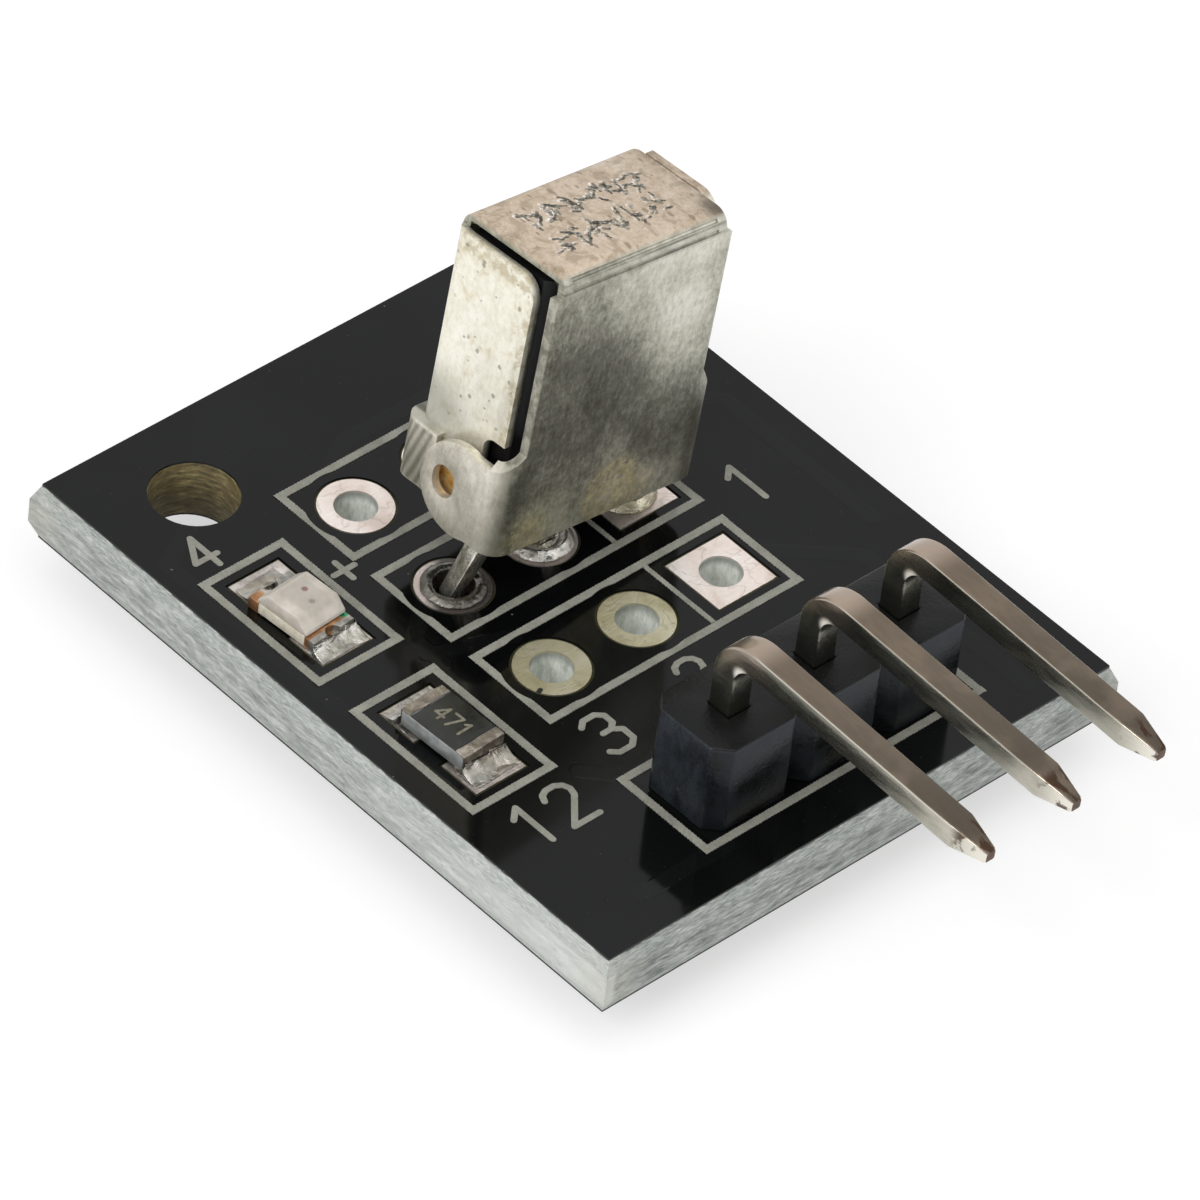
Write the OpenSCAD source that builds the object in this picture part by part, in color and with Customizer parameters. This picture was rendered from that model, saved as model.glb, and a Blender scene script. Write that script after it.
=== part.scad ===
// Infrared receiver module: a small circuit board that carries a receiver in a folded
// metal shield, a right-angle pin header, a chip light and a chip resistor.
// The origin is the middle of the board's underside, +Z is up, the header points to -Y.

/* [Board] */
// Width of the board, across the header
board_w = 15; // [14:0.1:18]
// Length of the board, from the header edge to the far edge
board_l = 18.5; // [18:0.1:22]
// Thickness of the glass-fibre core
core_t = 1.5; // [1:0.1:2]
// Thickness of the solder mask on each side
mask_t = 0.05; // [0.03:0.01:0.08]
// Thickness of the copper pads
copper_t = 0.035; // [0.02:0.005:0.05]
// Depth of the scored groove that the board was snapped along
score_depth = 0.42; // [0.2:0.02:0.5]
// How far the snapped web stands out past the board's faces
web_out = 0.18; // [0.05:0.01:0.3]
// Diameter of the mounting hole
mount_hole_d = 2.1; // [1.6:0.1:2.6]
// Distance of the mounting hole's centre from the left edge
mount_hole_from_left = 2.48; // [2.2:0.02:2.8]
// Distance of the mounting hole's centre from the far edge
mount_hole_from_far = 2.25; // [2:0.05:2.8]

/* [Plated holes] */
// Spacing of the pins, legs and plated holes
pitch = 2.54; // [2.5:0.01:2.6]
// Distance between the rows of plated holes
row_spacing = 3.216; // [3:0.02:3.6]
// How far the receiver's row lies from the middle of the board, towards the far edge
receiver_row_y = 1.35; // [1:0.05:1.8]
// How far the rows lie from the middle of the board, towards the right
rows_x = 0.14; // [0:0.02:0.4]
// Diameter of a round pad
pad_d = 1.76; // [1.5:0.02:1.9]
// Side of the square pad of pin 1
square_pad = 1.74; // [1.5:0.02:1.9]
// Clearance between a plated hole and the corners of the pin in it
pin_hole_clear = 0.05; // [0.03:0.01:0.1]
// Wall of the plating in a hole
plating_t = 0.05; // [0.03:0.01:0.08]
// Gap between a pad and the mask around it
mask_gap = 0.06; // [0.02:0.01:0.1]
// Depth of the solder cone below a pad on the underside
cone_drop = 0.75; // [0.5:0.05:0.9]
// Gap between the foot of a solder cone and the edge of its pad
cone_foot_gap = 0.04; // [0.02:0.01:0.1]
// Gap between the neck of a solder cone and the line of its hole
cone_neck_gap = 0.02; // [0.01:0.01:0.05]

/* [Print] */
// Thickness of the printed ink
ink_t = 0.02; // [0.01:0.005:0.03]
// Width of a printed line
line_w = 0.22; // [0.15:0.01:0.25]
// Width of the thin line between the square pad and the round ones
thin_line_w = 0.14; // [0.1:0.01:0.18]
// Half height of the frame round a row of pads
row_frame_half = 1.335; // [1.25:0.005:1.4]
// How far the frame runs past the end pads' centres
row_frame_end = 1.27; // [1.2:0.01:1.35]
// How far the header's frame stands out at the ends of the moulded strip
header_frame_end = 0.18; // [0.1:0.01:0.3]
// Gap between the header's frame and the long sides of the moulded strip
header_frame_gap = 0.06; // [0.04:0.01:0.2]

/* [Header] */
// Distance of the header's middle pin from the board's middle, to the right
header_x = 0.53; // [0.3:0.01:0.8]
// Distance of the header's pins from the header edge of the board
header_from_edge = 2.5; // [2.3:0.05:3]
// Side of a pin
pin_side = 0.64; // [0.5:0.02:0.64]
// Depth of the moulded strip
housing_d = 2.34; // [2.1:0.02:2.4]
// Height of the moulded strip
housing_h = 2.42; // [2:0.02:2.6]
// Chamfer of each block's upright corners
housing_chamfer = 0.38; // [0.2:0.02:0.6]
// Height of a pin's centre line above the board, where it has turned
pin_rise = 4.3; // [3.8:0.05:5]
// Radius of the pin's bend, at its centre line
pin_bend_r = 0.85; // [0.6:0.05:1.2]
// Length of the straight arm after the bend
pin_arm = 6.95; // [5:0.05:8]
// Angle by which the arms droop
pin_droop = 2.5; // [0:0.5:5]
// Length of the taper at the tip
pin_taper = 0.95; // [0.5:0.05:1.2]
// Side of the pin's end
pin_end = 0.3; // [0.2:0.02:0.4]
// Length of the tails below the board's underside
tail = 1.25; // [0.9:0.05:2]
// Gap between a pin and the moulded strip
pin_fit = 0.01; // [0.005:0.005:0.03]

/* [Receiver shield] */
// Thickness of the tinned sheet
sheet_t = 0.22; // [0.18:0.01:0.26]
// Width of the shield across its side flaps
shield_w = 5.56; // [5.4:0.02:5.8]
// Depth of the shield from its front plate to its rear plate
shield_d = 3.2; // [3.1:0.02:3.6]
// Height of the shield
shield_h = 7; // [6.6:0.1:7.6]
// Outer radius of the folds between the plates
fold_r = 0.42; // [0.3:0.02:0.5]
// Gap between a side flap's rear edge and the rear plate
flap_rear_gap = 0.36; // [0.2:0.02:0.5]
// Gap between a side flap's inner face and the edge of the top plate
flap_side_gap = 0.08; // [0.04:0.01:0.12]
// How far the left flap's top edge lies below the top plate's face
left_flap_drop = 0.36; // [0.3:0.02:0.5]
// How far the right flap's top edge lies below the top plate's face
right_flap_drop = 0.04; // [0.02:0.01:0.3]
// Distance between the high part of the right flap and the front fold
right_flap_front = 0.06; // [0.02:0.02:0.3]
// Height of the flap's lower edge
flap_foot = 0.12; // [0.05:0.01:0.2]
// Radius of the flap's rear upper corner
flap_corner_r = 0.55; // [0.3:0.05:0.7]
// How far the rear plate is wider than the top plate, on each side
rear_plate_extra = 0.2; // [0.1:0.02:0.22]
// Gap between a side flap and the ear that is folded over it
ear_gap = 0.22; // [0.1:0.02:0.3]
// Outer radius of the fold between the rear plate and an ear
ear_fold_r = 0.5; // [0.35:0.05:0.6]
// Radius of an ear's rounded end
ear_r = 1.15; // [1:0.05:1.3]
// Distance of the ear's rounded end from the rear plate's face
ear_reach = 1.3; // [1.1:0.05:1.6]
// Height of an ear where it leaves the rear plate
ear_root_h = 2.15; // [1.9:0.05:2.25]
// Height of the middle of the ear
ear_mid_z = 0.87; // [0.8:0.01:1.1]
// Width of the slot pierced in an ear
ear_slot_w = 0.66; // [0.3:0.02:0.7]
// Height of the slot pierced in an ear
ear_slot_h = 0.8; // [0.74:0.02:1.2]
// How far the slot lies ahead of the middle of the ear's rounded end
ear_slot_ahead = 0.45; // [0.1:0.05:0.5]
// Height at which the rear plate widens into its left ear
left_shoulder_z = 2.4; // [2.2:0.05:3]
// Height at which the rear plate widens into its right ear
right_shoulder_z = 2.8; // [2.2:0.05:3]
// Height of the notch cut from the rear foot of a side flap
flap_notch_z = 2.3; // [2.1:0.05:2.6]
// Length of the notch cut from the rear foot of a side flap
flap_notch_l = 0.6; // [0.4:0.05:0.8]
// Radius of the notch's inner corner
flap_notch_r = 0.3; // [0.1:0.05:0.4]
// Height of the drawn skirt round the foot of the front plate
skirt_top = 1.66; // [1.4:0.02:1.9]
// How far the skirt runs back round the sides
skirt_back = 0.66; // [0.5:0.02:0.7]
// Clearance between the lens and the window in the front plate
window_clear = 0.1; // [0.05:0.01:0.15]
// Distance of the window's centre below the top of the shield
window_drop = 2.9; // [2.7:0.05:3.1]
// How far the window's collar stands out
collar_out = 0.1; // [0.05:0.05:0.3]
// Radius of the two coined lines along the rear fold
coin_r = 0.05; // [0.03:0.01:0.07]
// Distance between a coined line's end and the edge of the top plate
coin_end_gap = 0.25; // [0.1:0.05:0.5]

/* [Receiver] */
// Lean of the receiver to the right
lean = 8.1; // [0:0.1:9]
// Tip of the receiver towards the far edge
tip = 2.8; // [0:0.1:4]
// Turn of the receiver about its own height
turn = 0.8; // [0:0.1:2]
// Height of the shield's foot above the board's face
receiver_lift = 1.62; // [1.4:0.02:2.2]
// How far the lifted receiver lies to the right of its row
receiver_dx = 0.27; // [0:0.01:0.4]
// How far the lifted receiver lies behind its row
receiver_dy = 0.27; // [0:0.01:0.4]
// Clearance between the moulded body and the shield
body_clear = 0.1; // [0.05:0.01:0.15]
// Height of the moulded body's foot above the shield's foot
body_foot = 0.3; // [0.2:0.02:0.5]
// Chamfer of the moulded body's rear corners
body_chamfer = 0.35; // [0.2:0.05:0.45]
// Chamfer of the moulded body's front corners
body_front_chamfer = 0.17; // [0.1:0.01:0.25]
// Radius of the moulded lens
lens_r = 1.9; // [1.8:0.01:1.92]
// How far the lens's centre lies behind the body's front face
lens_back = 0.4; // [0.2:0.05:0.6]
// Width of a leg
leg_w = 0.5; // [0.4:0.02:0.56]
// Thickness of a leg
leg_t = 0.36; // [0.3:0.02:0.4]
// How far the legs leave the body behind its middle
leg_back = 0.7; // [0.5:0.05:0.9]
// Distance between an outer leg and the body's side, where it leaves the body
leg_inset = 0.03; // [0.02:0.01:0.1]
// Length of the leg's straight root below the body
leg_root = 0.3; // [0.2:0.05:0.4]
// Depth below the board's face at which a leg stands upright again
leg_bend_depth = 0.1; // [0.05:0.01:0.2]
// Thickness of the solder lining in a half-filled hole
lining_t = 0.05; // [0.03:0.01:0.08]

/* [Chip light] */
// Distance of the light's middle from the board's left edge
led_from_left = 1.72; // [1.6:0.02:2]
// Distance of the light's middle from the board's middle, towards the far edge
led_y = 2.6; // [2.4:0.05:2.9]
// Angle at which the light was soldered
led_turn = 4; // [0:1:6]
// Length of the light
led_l = 2; // [1.8:0.05:2.2]
// Width of the light
led_w = 1.25; // [1.15:0.05:1.3]
// Thickness of the light's base
led_base_t = 0.28; // [0.2:0.02:0.35]
// Height of the moulded lens over the base
led_lens_h = 0.38; // [0.3:0.02:0.6]
// Length of the moulded lens at its foot
led_lens_l = 1.5; // [1.3:0.05:1.6]
// Slope length of the lens's ends
led_lens_slope = 0.28; // [0.05:0.01:0.4]
// Height of the upright part of the lens's ends
led_lens_wall = 0.1; // [0.05:0.01:0.25]
// Length of the light's metal terminals
terminal_l = 0.3; // [0.2:0.02:0.4]
// Thickness of the terminals' metal below the base
terminal_t = 0.03; // [0.02:0.01:0.05]
// Radius of the half-round notch in each terminal
notch_r = 0.2; // [0.1:0.02:0.25]

/* [Chip resistor] */
// Distance of the resistor's middle from the board's left edge
resistor_from_left = 1.85; // [1.7:0.02:2]
// Distance of the resistor's middle from the board's middle, towards the header edge
resistor_y = 2.18; // [2:0.02:2.4]
// Angle at which the resistor was soldered
resistor_turn = 2; // [0:1:5]
// Length of the resistor
resistor_l = 2; // [1.8:0.05:2.2]
// Width of the resistor
resistor_w = 1.25; // [1.15:0.05:1.3]
// Height of the resistor
resistor_h = 0.5; // [0.4:0.02:0.6]
// Length of each metal end cap
cap_l = 0.3; // [0.25:0.01:0.45]
// Wall of each metal end cap
cap_t = 0.05; // [0.03:0.01:0.08]
// Thickness of the dark glass coat
coat_t = 0.03; // [0.02:0.01:0.05]
// Distance between the coat's edge and the resistor's side
coat_inset = 0.02; // [0.01:0.01:0.1]

/* [Chip pads] */
// Width of a chip's pad
chip_pad_w = 1.45; // [1.3:0.05:1.6]
// Length of a chip's pad
chip_pad_l = 1.1; // [0.9:0.05:1.2]
// Distance between the outer ends of a chip's two pads
chip_pad_span = 3.12; // [2.9:0.02:3.2]
// Height of a chip's seat above the solder mask
chip_seat = 0.01; // [0.005:0.005:0.03]
// Height of the solder against a chip's end
chip_solder_h = 0.3; // [0.2:0.02:0.4]
// How far the solder reaches out from a chip's end
chip_solder_reach = 0.54; // [0.25:0.01:0.6]
// Length of the solder film under a chip's end
chip_film_l = 0.3; // [0.2:0.02:0.35]
// How far the solder stands out past a chip's side
chip_solder_out = 0.08; // [0.02:0.01:0.1]
// Distance of the chips' frames and pads from the board's left edge, to their middle
chip_frame_from_left = 1.84; // [1.7:0.02:2]
// Distance of the light's pads from the board's middle, towards the far edge
led_pads_y = 2.73; // [2.6:0.01:2.9]
// Distance of the resistor's pads from the board's middle, towards the header edge
resistor_pads_out = 2.25; // [2.1:0.01:2.4]
// Width of the frame printed round a chip
chip_frame_w = 2.5; // [2.3:0.02:2.6]
// Length of the frame printed round a chip
chip_frame_l = 4.04; // [3.8:0.02:4.2]

/* [Hidden] */
$fn = 48;

board_t = core_t + 2 * mask_t;
hole_d = pin_side * sqrt(2) + 2 * pin_hole_clear;
pad_top = mask_t + core_t + copper_t;
pad_bottom = mask_t - copper_t;
barrel_r = hole_d / 2 + plating_t;
header_y = -board_l / 2 + header_from_edge;
far_row_y = receiver_row_y + row_spacing;
near_row_y = receiver_row_y - row_spacing;
mount_hole_x = -board_w / 2 + mount_hole_from_left;
mount_hole_y = board_l / 2 - mount_hole_from_far;
led_x = -board_w / 2 + led_from_left;
resistor_x = -board_w / 2 + resistor_from_left;
chip_frame_x = -board_w / 2 + chip_frame_from_left;
resistor_pads_y = -resistor_pads_out;
header_frame_w = 3 * pitch + 2 * header_frame_end + 2 * line_w;
header_frame_l = housing_d + 2 * header_frame_gap + 2 * line_w;
tail_z = -tail;
chip_z = mask_t + core_t + max(mask_t, copper_t) + chip_seat;
slop = 0.01;

// The places of the three holes in a row, from the square pad of pin 1 to the left
function row_x(middle_x, pin) = middle_x + (2 - pin) * pitch;

shield_half_w = shield_w / 2;
shield_half_d = shield_d / 2;
left_flap_top = shield_h - left_flap_drop;
right_flap_top = shield_h - right_flap_drop;
top_half_w = shield_half_w - sheet_t - flap_side_gap;
rear_half_w = top_half_w + rear_plate_extra;
ear_in = shield_half_w + ear_gap;
ear_out = ear_in + sheet_t;
ear_end_y = -shield_half_d + ear_reach;
coin_angles = [5, 40];
window_z = shield_h - window_drop;
window_r = lens_r + window_clear;
body_half_w = shield_half_w - sheet_t - body_clear;
body_half_d = shield_half_d - sheet_t - body_clear;
body_top = shield_h - sheet_t - 2 * body_clear;
lens_y = body_half_d - lens_back;
leg_spread = body_half_w - leg_w / 2 - leg_inset;

module rounded_square(half_w, half_l, r) {
    square([2 * half_w, 2 * (half_l - r)], center = true);
    square([2 * (half_w - r), 2 * half_l], center = true);
    for (sx = [-1, 1], sy = [-1, 1])
        translate([sx * (half_w - r), sy * (half_l - r)]) circle(r = r);
}

module frame_outline(w, l, line) {
    difference() {
        square([w, l], center = true);
        square([w - 2 * line, l - 2 * line], center = true);
    }
}

// Board

// Cross-section of the core, with a scored and snapped edge on both sides
module core_section(width) {
    half = width / 2;
    web_top = core_t - score_depth;
    polygon([
        [-half, core_t], [-half - web_out, web_top], [-half - web_out, score_depth], [-half, 0],
        [half, 0], [half + web_out, score_depth], [half + web_out, web_top], [half, core_t]
    ]);
}

module core_blank() {
    reach = max(board_w, board_l) + 2 * web_out + 2;
    intersection() {
        rotate([90, 0, 0]) linear_extrude(reach, center = true) core_section(board_w);
        rotate([90, 0, 90]) linear_extrude(reach, center = true) core_section(board_l);
    }
}

module at_all_rows() {
    for (pin = [1:3]) {
        for (y = [far_row_y, receiver_row_y, near_row_y])
            translate([row_x(rows_x, pin), y, 0]) children();
        translate([row_x(header_x, pin), header_y, 0]) children();
    }
}

module mount_hole_cut() {
    translate([mount_hole_x, mount_hole_y, -slop]) cylinder(h = board_t + 2 * slop, d = mount_hole_d);
}

module circuit_board() {
    color([0.62, 0.64, 0.58])
        difference() {
            translate([0, 0, mask_t]) core_blank();
            mount_hole_cut();
            translate([0, 0, -slop]) at_all_rows() cylinder(h = board_t + 2 * slop, r = barrel_r);
        }
}

// A window in the mask for the pads of one row, grown by the mask's gap
module row_pads_2d(middle_x, y, grow) {
    side = square_pad + 2 * grow;
    translate([row_x(middle_x, 1), y]) square([side, side], center = true);
    for (pin = [2:3])
        translate([row_x(middle_x, pin), y]) circle(d = pad_d + 2 * grow);
}

module chip_pads_2d(y, grow) {
    for (s = [-1, 1])
        translate([chip_frame_x, y + s * (chip_pad_span - chip_pad_l) / 2])
            square([chip_pad_w + 2 * grow, chip_pad_l + 2 * grow], center = true);
}

module all_row_pads_2d(grow) {
    for (y = [far_row_y, receiver_row_y, near_row_y]) row_pads_2d(rows_x, y, grow);
    row_pads_2d(header_x, header_y, grow);
}

module mask_2d() {
    difference() {
        square([board_w, board_l], center = true);
        all_row_pads_2d(mask_gap);
    }
}

module solder_mask_top() {
    color([0.09, 0.09, 0.09])
        difference() {
            translate([0, 0, mask_t + core_t])
                linear_extrude(mask_t)
                    difference() {
                        mask_2d();
                        chip_pads_2d(led_pads_y, mask_gap);
                        chip_pads_2d(resistor_pads_y, mask_gap);
                    }
            mount_hole_cut();
        }
}

module solder_mask_bottom() {
    color([0.09, 0.09, 0.09])
        difference() {
            linear_extrude(mask_t) mask_2d();
            mount_hole_cut();
        }
}

// Frames printed round the rows, the header and the two chips
module printed_frames() {
    row_w = 2 * pitch + 2 * row_frame_end;
    color([0.61, 0.61, 0.56])
        translate([0, 0, board_t])
            linear_extrude(ink_t) {
                for (y = [far_row_y, receiver_row_y, near_row_y])
                    translate([rows_x, y]) {
                        frame_outline(row_w, 2 * row_frame_half, line_w);
                        translate([pitch / 2, 0])
                            square([thin_line_w, 2 * row_frame_half - line_w], center = true);
                    }
                translate([header_x, header_y])
                    frame_outline(header_frame_w, header_frame_l, line_w);
                translate([chip_frame_x, led_pads_y]) frame_outline(chip_frame_w, chip_frame_l, line_w);
                translate([chip_frame_x, resistor_pads_y]) frame_outline(chip_frame_w, chip_frame_l, line_w);
            }
}

// Three plated holes: a pad on each face and the barrel between them, square at pin 1
module plated_row(middle_x, y) {
    difference() {
        union() {
            for (z = [pad_bottom, mask_t + core_t])
                translate([0, 0, z]) linear_extrude(copper_t) row_pads_2d(middle_x, y, 0);
            for (pin = [1:3])
                translate([row_x(middle_x, pin), y, pad_bottom])
                    cylinder(h = pad_top - pad_bottom, r = barrel_r);
        }
        for (pin = [1:3])
            translate([row_x(middle_x, pin), y, pad_bottom - slop])
                cylinder(h = pad_top - pad_bottom + 2 * slop, d = hole_d);
    }
}

module spare_holes_far() {
    color([0.86, 0.8, 0.76]) plated_row(rows_x, far_row_y);
}

module receiver_holes() {
    color([0.84, 0.79, 0.75]) plated_row(rows_x, receiver_row_y);
}

module spare_holes_near() {
    color([0.83, 0.79, 0.66]) plated_row(rows_x, near_row_y);
}

module header_holes() {
    color([0.8, 0.78, 0.72]) plated_row(header_x, header_y);
}

module chip_pads(y) {
    translate([0, 0, mask_t + core_t]) linear_extrude(copper_t) chip_pads_2d(y, 0);
}

module led_pads() {
    color([0.78, 0.76, 0.72]) chip_pads(led_pads_y);
}

module resistor_pads() {
    color([0.78, 0.76, 0.72]) chip_pads(resistor_pads_y);
}

// Header

module block_2d() {
    w = pitch / 2;
    d = housing_d / 2;
    c = housing_chamfer;
    polygon([[-w, -d + c], [-w + c, -d], [w - c, -d], [w, -d + c], [w, d - c], [w - c, d], [-w + c, d], [-w, d - c]]);
}

module header_housing() {
    hole = pin_side + 2 * pin_fit;
    color([0.12, 0.13, 0.16])
        translate([0, header_y, board_t])
            linear_extrude(housing_h)
                difference() {
                    for (pin = [1:3]) translate([row_x(header_x, pin), 0]) block_2d();
                    for (pin = [1:3]) translate([row_x(header_x, pin), 0]) square(hole, center = true);
                }
}

// Outline of the arm and its taper, seen from above or from the side
module arm_2d() {
    a = pin_side / 2;
    e = pin_end / 2;
    polygon([[0, -a], [pin_arm - pin_taper, -a], [pin_arm, -e], [pin_arm, e], [pin_arm - pin_taper, a], [0, a]]);
}

// One square pin: a straight tail and riser, a bend, and an arm with a tapered tip
module header_pin() {
    side = pin_side;
    bend_z = board_t + pin_rise - pin_bend_r;
    translate([-side / 2, -side / 2, tail_z]) cube([side, side, bend_z - tail_z]);
    translate([0, -pin_bend_r, bend_z])
        rotate([90, 0, 90])
            rotate_extrude(angle = 90 + pin_droop)
                translate([pin_bend_r, 0]) square(side, center = true);
    translate([0, -pin_bend_r, bend_z])
        rotate([pin_droop, 0, 0])
            translate([0, 0, pin_bend_r])
                rotate([0, 0, -90])
                    intersection() {
                        translate([0, 0, -side]) linear_extrude(2 * side) arm_2d();
                        rotate([90, 0, 0]) linear_extrude(2 * side, center = true) arm_2d();
                    }
}

module placed_pin(pin) {
    color([0.6, 0.55, 0.48]) translate([row_x(header_x, pin), header_y, 0]) header_pin();
}

module header_pin_1() {
    placed_pin(1);
}

module header_pin_2() {
    placed_pin(2);
}

module header_pin_3() {
    placed_pin(3);
}

// Solder that fills a plated hole up to a height and forms a hollow-sided cone below the board
module joint_fill(fill_top) {
    foot_r = pad_d / 2 - cone_foot_gap;
    neck_r = hole_d / 2 - cone_neck_gap;
    steps = 6;
    rotate_extrude()
        polygon(concat(
            [[0, fill_top], [hole_d / 2, fill_top], [hole_d / 2, pad_bottom], [foot_r, pad_bottom]],
            [for (i = [1:steps])
                let (a = 90 * i / steps)
                [foot_r - (foot_r - neck_r) * sin(a), pad_bottom - cone_drop * (1 - cos(a))]],
            [[0, pad_bottom - cone_drop]]
        ));
}

module header_solder() {
    color([0.72, 0.72, 0.7])
        for (pin = [1:3])
            translate([row_x(header_x, pin), header_y, 0])
                difference() {
                    joint_fill(board_t - slop);
                    translate([-pin_side / 2, -pin_side / 2, tail_z]) cube([pin_side, pin_side, board_t - tail_z + 1]);
                }
}

// Receiver

// Places the receiver's own frame: foot middle at the origin, lens towards +Y
module placed_receiver() {
    translate([rows_x + receiver_dx, receiver_row_y + receiver_dy, board_t + receiver_lift])
        rotate([-tip, 0, 0]) rotate([0, lean, 0]) rotate([0, 0, turn])
            children();
}

// Bent strip of the shield seen from above: the front plate and what wraps round to y_back
module wrap_2d(half_w, half_d, y_back) {
    intersection() {
        difference() {
            rounded_square(half_w, half_d, fold_r);
            rounded_square(half_w - sheet_t, half_d - sheet_t, fold_r - sheet_t);
        }
        translate([-half_w - 1, y_back]) square([2 * half_w + 2, half_d - y_back + 1]);
    }
}

// Outline of a side flap, seen from the side: a round corner above and a notch below its rear edge
module flap_side_2d(top) {
    rear = -shield_half_d + sheet_t + flap_rear_gap;
    front = shield_half_d + sheet_t + 1;
    notch_y = rear + flap_notch_l;
    difference() {
        union() {
            translate([rear, flap_foot]) square([front - rear, top - flap_foot - flap_corner_r]);
            translate([rear + flap_corner_r, flap_foot]) square([front - rear - flap_corner_r, top - flap_foot]);
            translate([rear + flap_corner_r, top - flap_corner_r]) circle(r = flap_corner_r);
        }
        translate([rear - 1, 0]) square([flap_notch_l + 1, flap_notch_z - flap_notch_r]);
        translate([rear - 1, 0]) square([flap_notch_l + 1 - flap_notch_r, flap_notch_z]);
        translate([notch_y - flap_notch_r, flap_notch_z - flap_notch_r]) circle(r = flap_notch_r);
    }
}

// The right flap's high part, which ends short of the front fold
module right_flap_side_2d() {
    front = shield_half_d - fold_r - right_flap_front;
    intersection() {
        flap_side_2d(right_flap_top);
        translate([front - 2 * shield_d, 0]) square([2 * shield_d, 2 * shield_h]);
    }
}

module along_x(half_w) {
    rotate([90, 0, 90]) linear_extrude(2 * half_w, center = true) children();
}

// Front plate with its two side flaps, drawn out into a wider skirt at the foot
module front_wrap() {
    skirt_y = shield_half_d - skirt_back;
    out_w = shield_half_w + sheet_t;
    out_d = shield_half_d + sheet_t;
    difference() {
        intersection() {
            linear_extrude(shield_h) wrap_2d(shield_half_w, shield_half_d, -shield_half_d);
            union() {
                along_x(shield_half_w + 1) flap_side_2d(left_flap_top);
                translate([shield_half_w, 0, 0]) along_x(sheet_t + slop) right_flap_side_2d();
            }
        }
        translate([-out_w - 1, skirt_y, -1]) cube([2 * out_w + 2, 2 * out_d, skirt_top - sheet_t + 1]);
    }
    translate([0, 0, flap_foot]) linear_extrude(skirt_top - flap_foot) wrap_2d(out_w, out_d, skirt_y - sheet_t);
    translate([0, 0, skirt_top - sheet_t])
        linear_extrude(sheet_t)
            difference() {
                intersection() {
                    rounded_square(out_w, out_d, fold_r);
                    translate([-out_w - 1, skirt_y - sheet_t]) square([2 * out_w + 2, 2 * out_d]);
                }
                rounded_square(shield_half_w - sheet_t, shield_half_d - sheet_t, fold_r - sheet_t);
            }
    for (s = [-1, 1])
        translate([s * (shield_half_w + slop) - sheet_t, skirt_y - sheet_t, flap_foot])
            cube([2 * sheet_t, sheet_t, skirt_top - flap_foot]);
}

// Top plate folded down from the front plate and into the rear plate
module top_fold_2d() {
    difference() {
        union() {
            translate([-shield_half_d, 0]) square([2 * shield_half_d, shield_h - fold_r]);
            translate([-shield_half_d + fold_r, 0]) square([2 * (shield_half_d - fold_r), shield_h]);
            for (s = [-1, 1]) translate([s * (shield_half_d - fold_r), shield_h - fold_r]) circle(r = fold_r);
        }
        inner_d = shield_half_d - sheet_t;
        inner_r = fold_r - sheet_t;
        inner_h = shield_h - sheet_t;
        translate([-inner_d, -1]) square([2 * inner_d, inner_h - inner_r + 1]);
        translate([-inner_d + inner_r, -1]) square([2 * (inner_d - inner_r), inner_h + 1]);
        for (s = [-1, 1]) translate([s * (inner_d - inner_r), inner_h - inner_r]) circle(r = inner_r);
    }
}

// Ears folded forward from the foot of the rear plate, over the flaps
module ear_side_2d() {
    translate([-shield_half_d, ear_mid_z - ear_root_h / 2]) square([ear_reach, ear_root_h]);
    translate([ear_end_y, ear_mid_z]) circle(r = ear_r);
}

// The rear plate's sloped shoulders, seen from behind
module shoulders_2d() {
    ear_top = ear_mid_z + ear_root_h / 2;
    polygon([
        [-ear_out, 0], [-ear_out, ear_top], [-rear_half_w, left_shoulder_z],
        [rear_half_w, right_shoulder_z], [ear_out, ear_top], [ear_out, 0]
    ]);
}

module ears() {
    intersection() {
        translate([0, 0, -1])
            linear_extrude(4)
                intersection() {
                    difference() {
                        rounded_square(ear_out, shield_half_d, ear_fold_r);
                        rounded_square(ear_in, shield_half_d - sheet_t, ear_fold_r - sheet_t);
                    }
                    translate([-ear_out - 1, -shield_half_d - 1]) square([2 * ear_out + 2, ear_reach + ear_r + 1]);
                }
        union() {
            along_x(ear_out + 1) ear_side_2d();
            translate([0, -shield_half_d + ear_fold_r, 0])
                rotate([90, 0, 0]) linear_extrude(ear_fold_r + 1) shoulders_2d();
        }
    }
}

module ear_slots() {
    straight = ear_slot_h - ear_slot_w;
    for (s = [-1, 1])
        translate([s * (ear_in + sheet_t / 2), ear_end_y + ear_slot_ahead, ear_mid_z]) {
            for (z = [-straight / 2, straight / 2])
                translate([0, 0, z]) rotate([0, 90, 0]) cylinder(h = 2 * sheet_t, d = ear_slot_w, center = true);
            cube([2 * sheet_t, ear_slot_w, straight], center = true);
        }
}

// Two shallow coined lines along the rear fold
module coined_lines() {
    for (turned = coin_angles)
        translate([0, -shield_half_d + fold_r, shield_h - fold_r])
            rotate([-turned, 0, 0])
                translate([0, -fold_r, 0])
                    rotate([0, 90, 0]) cylinder(h = 2 * (top_half_w - coin_end_gap), r = coin_r, center = true);
}

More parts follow.
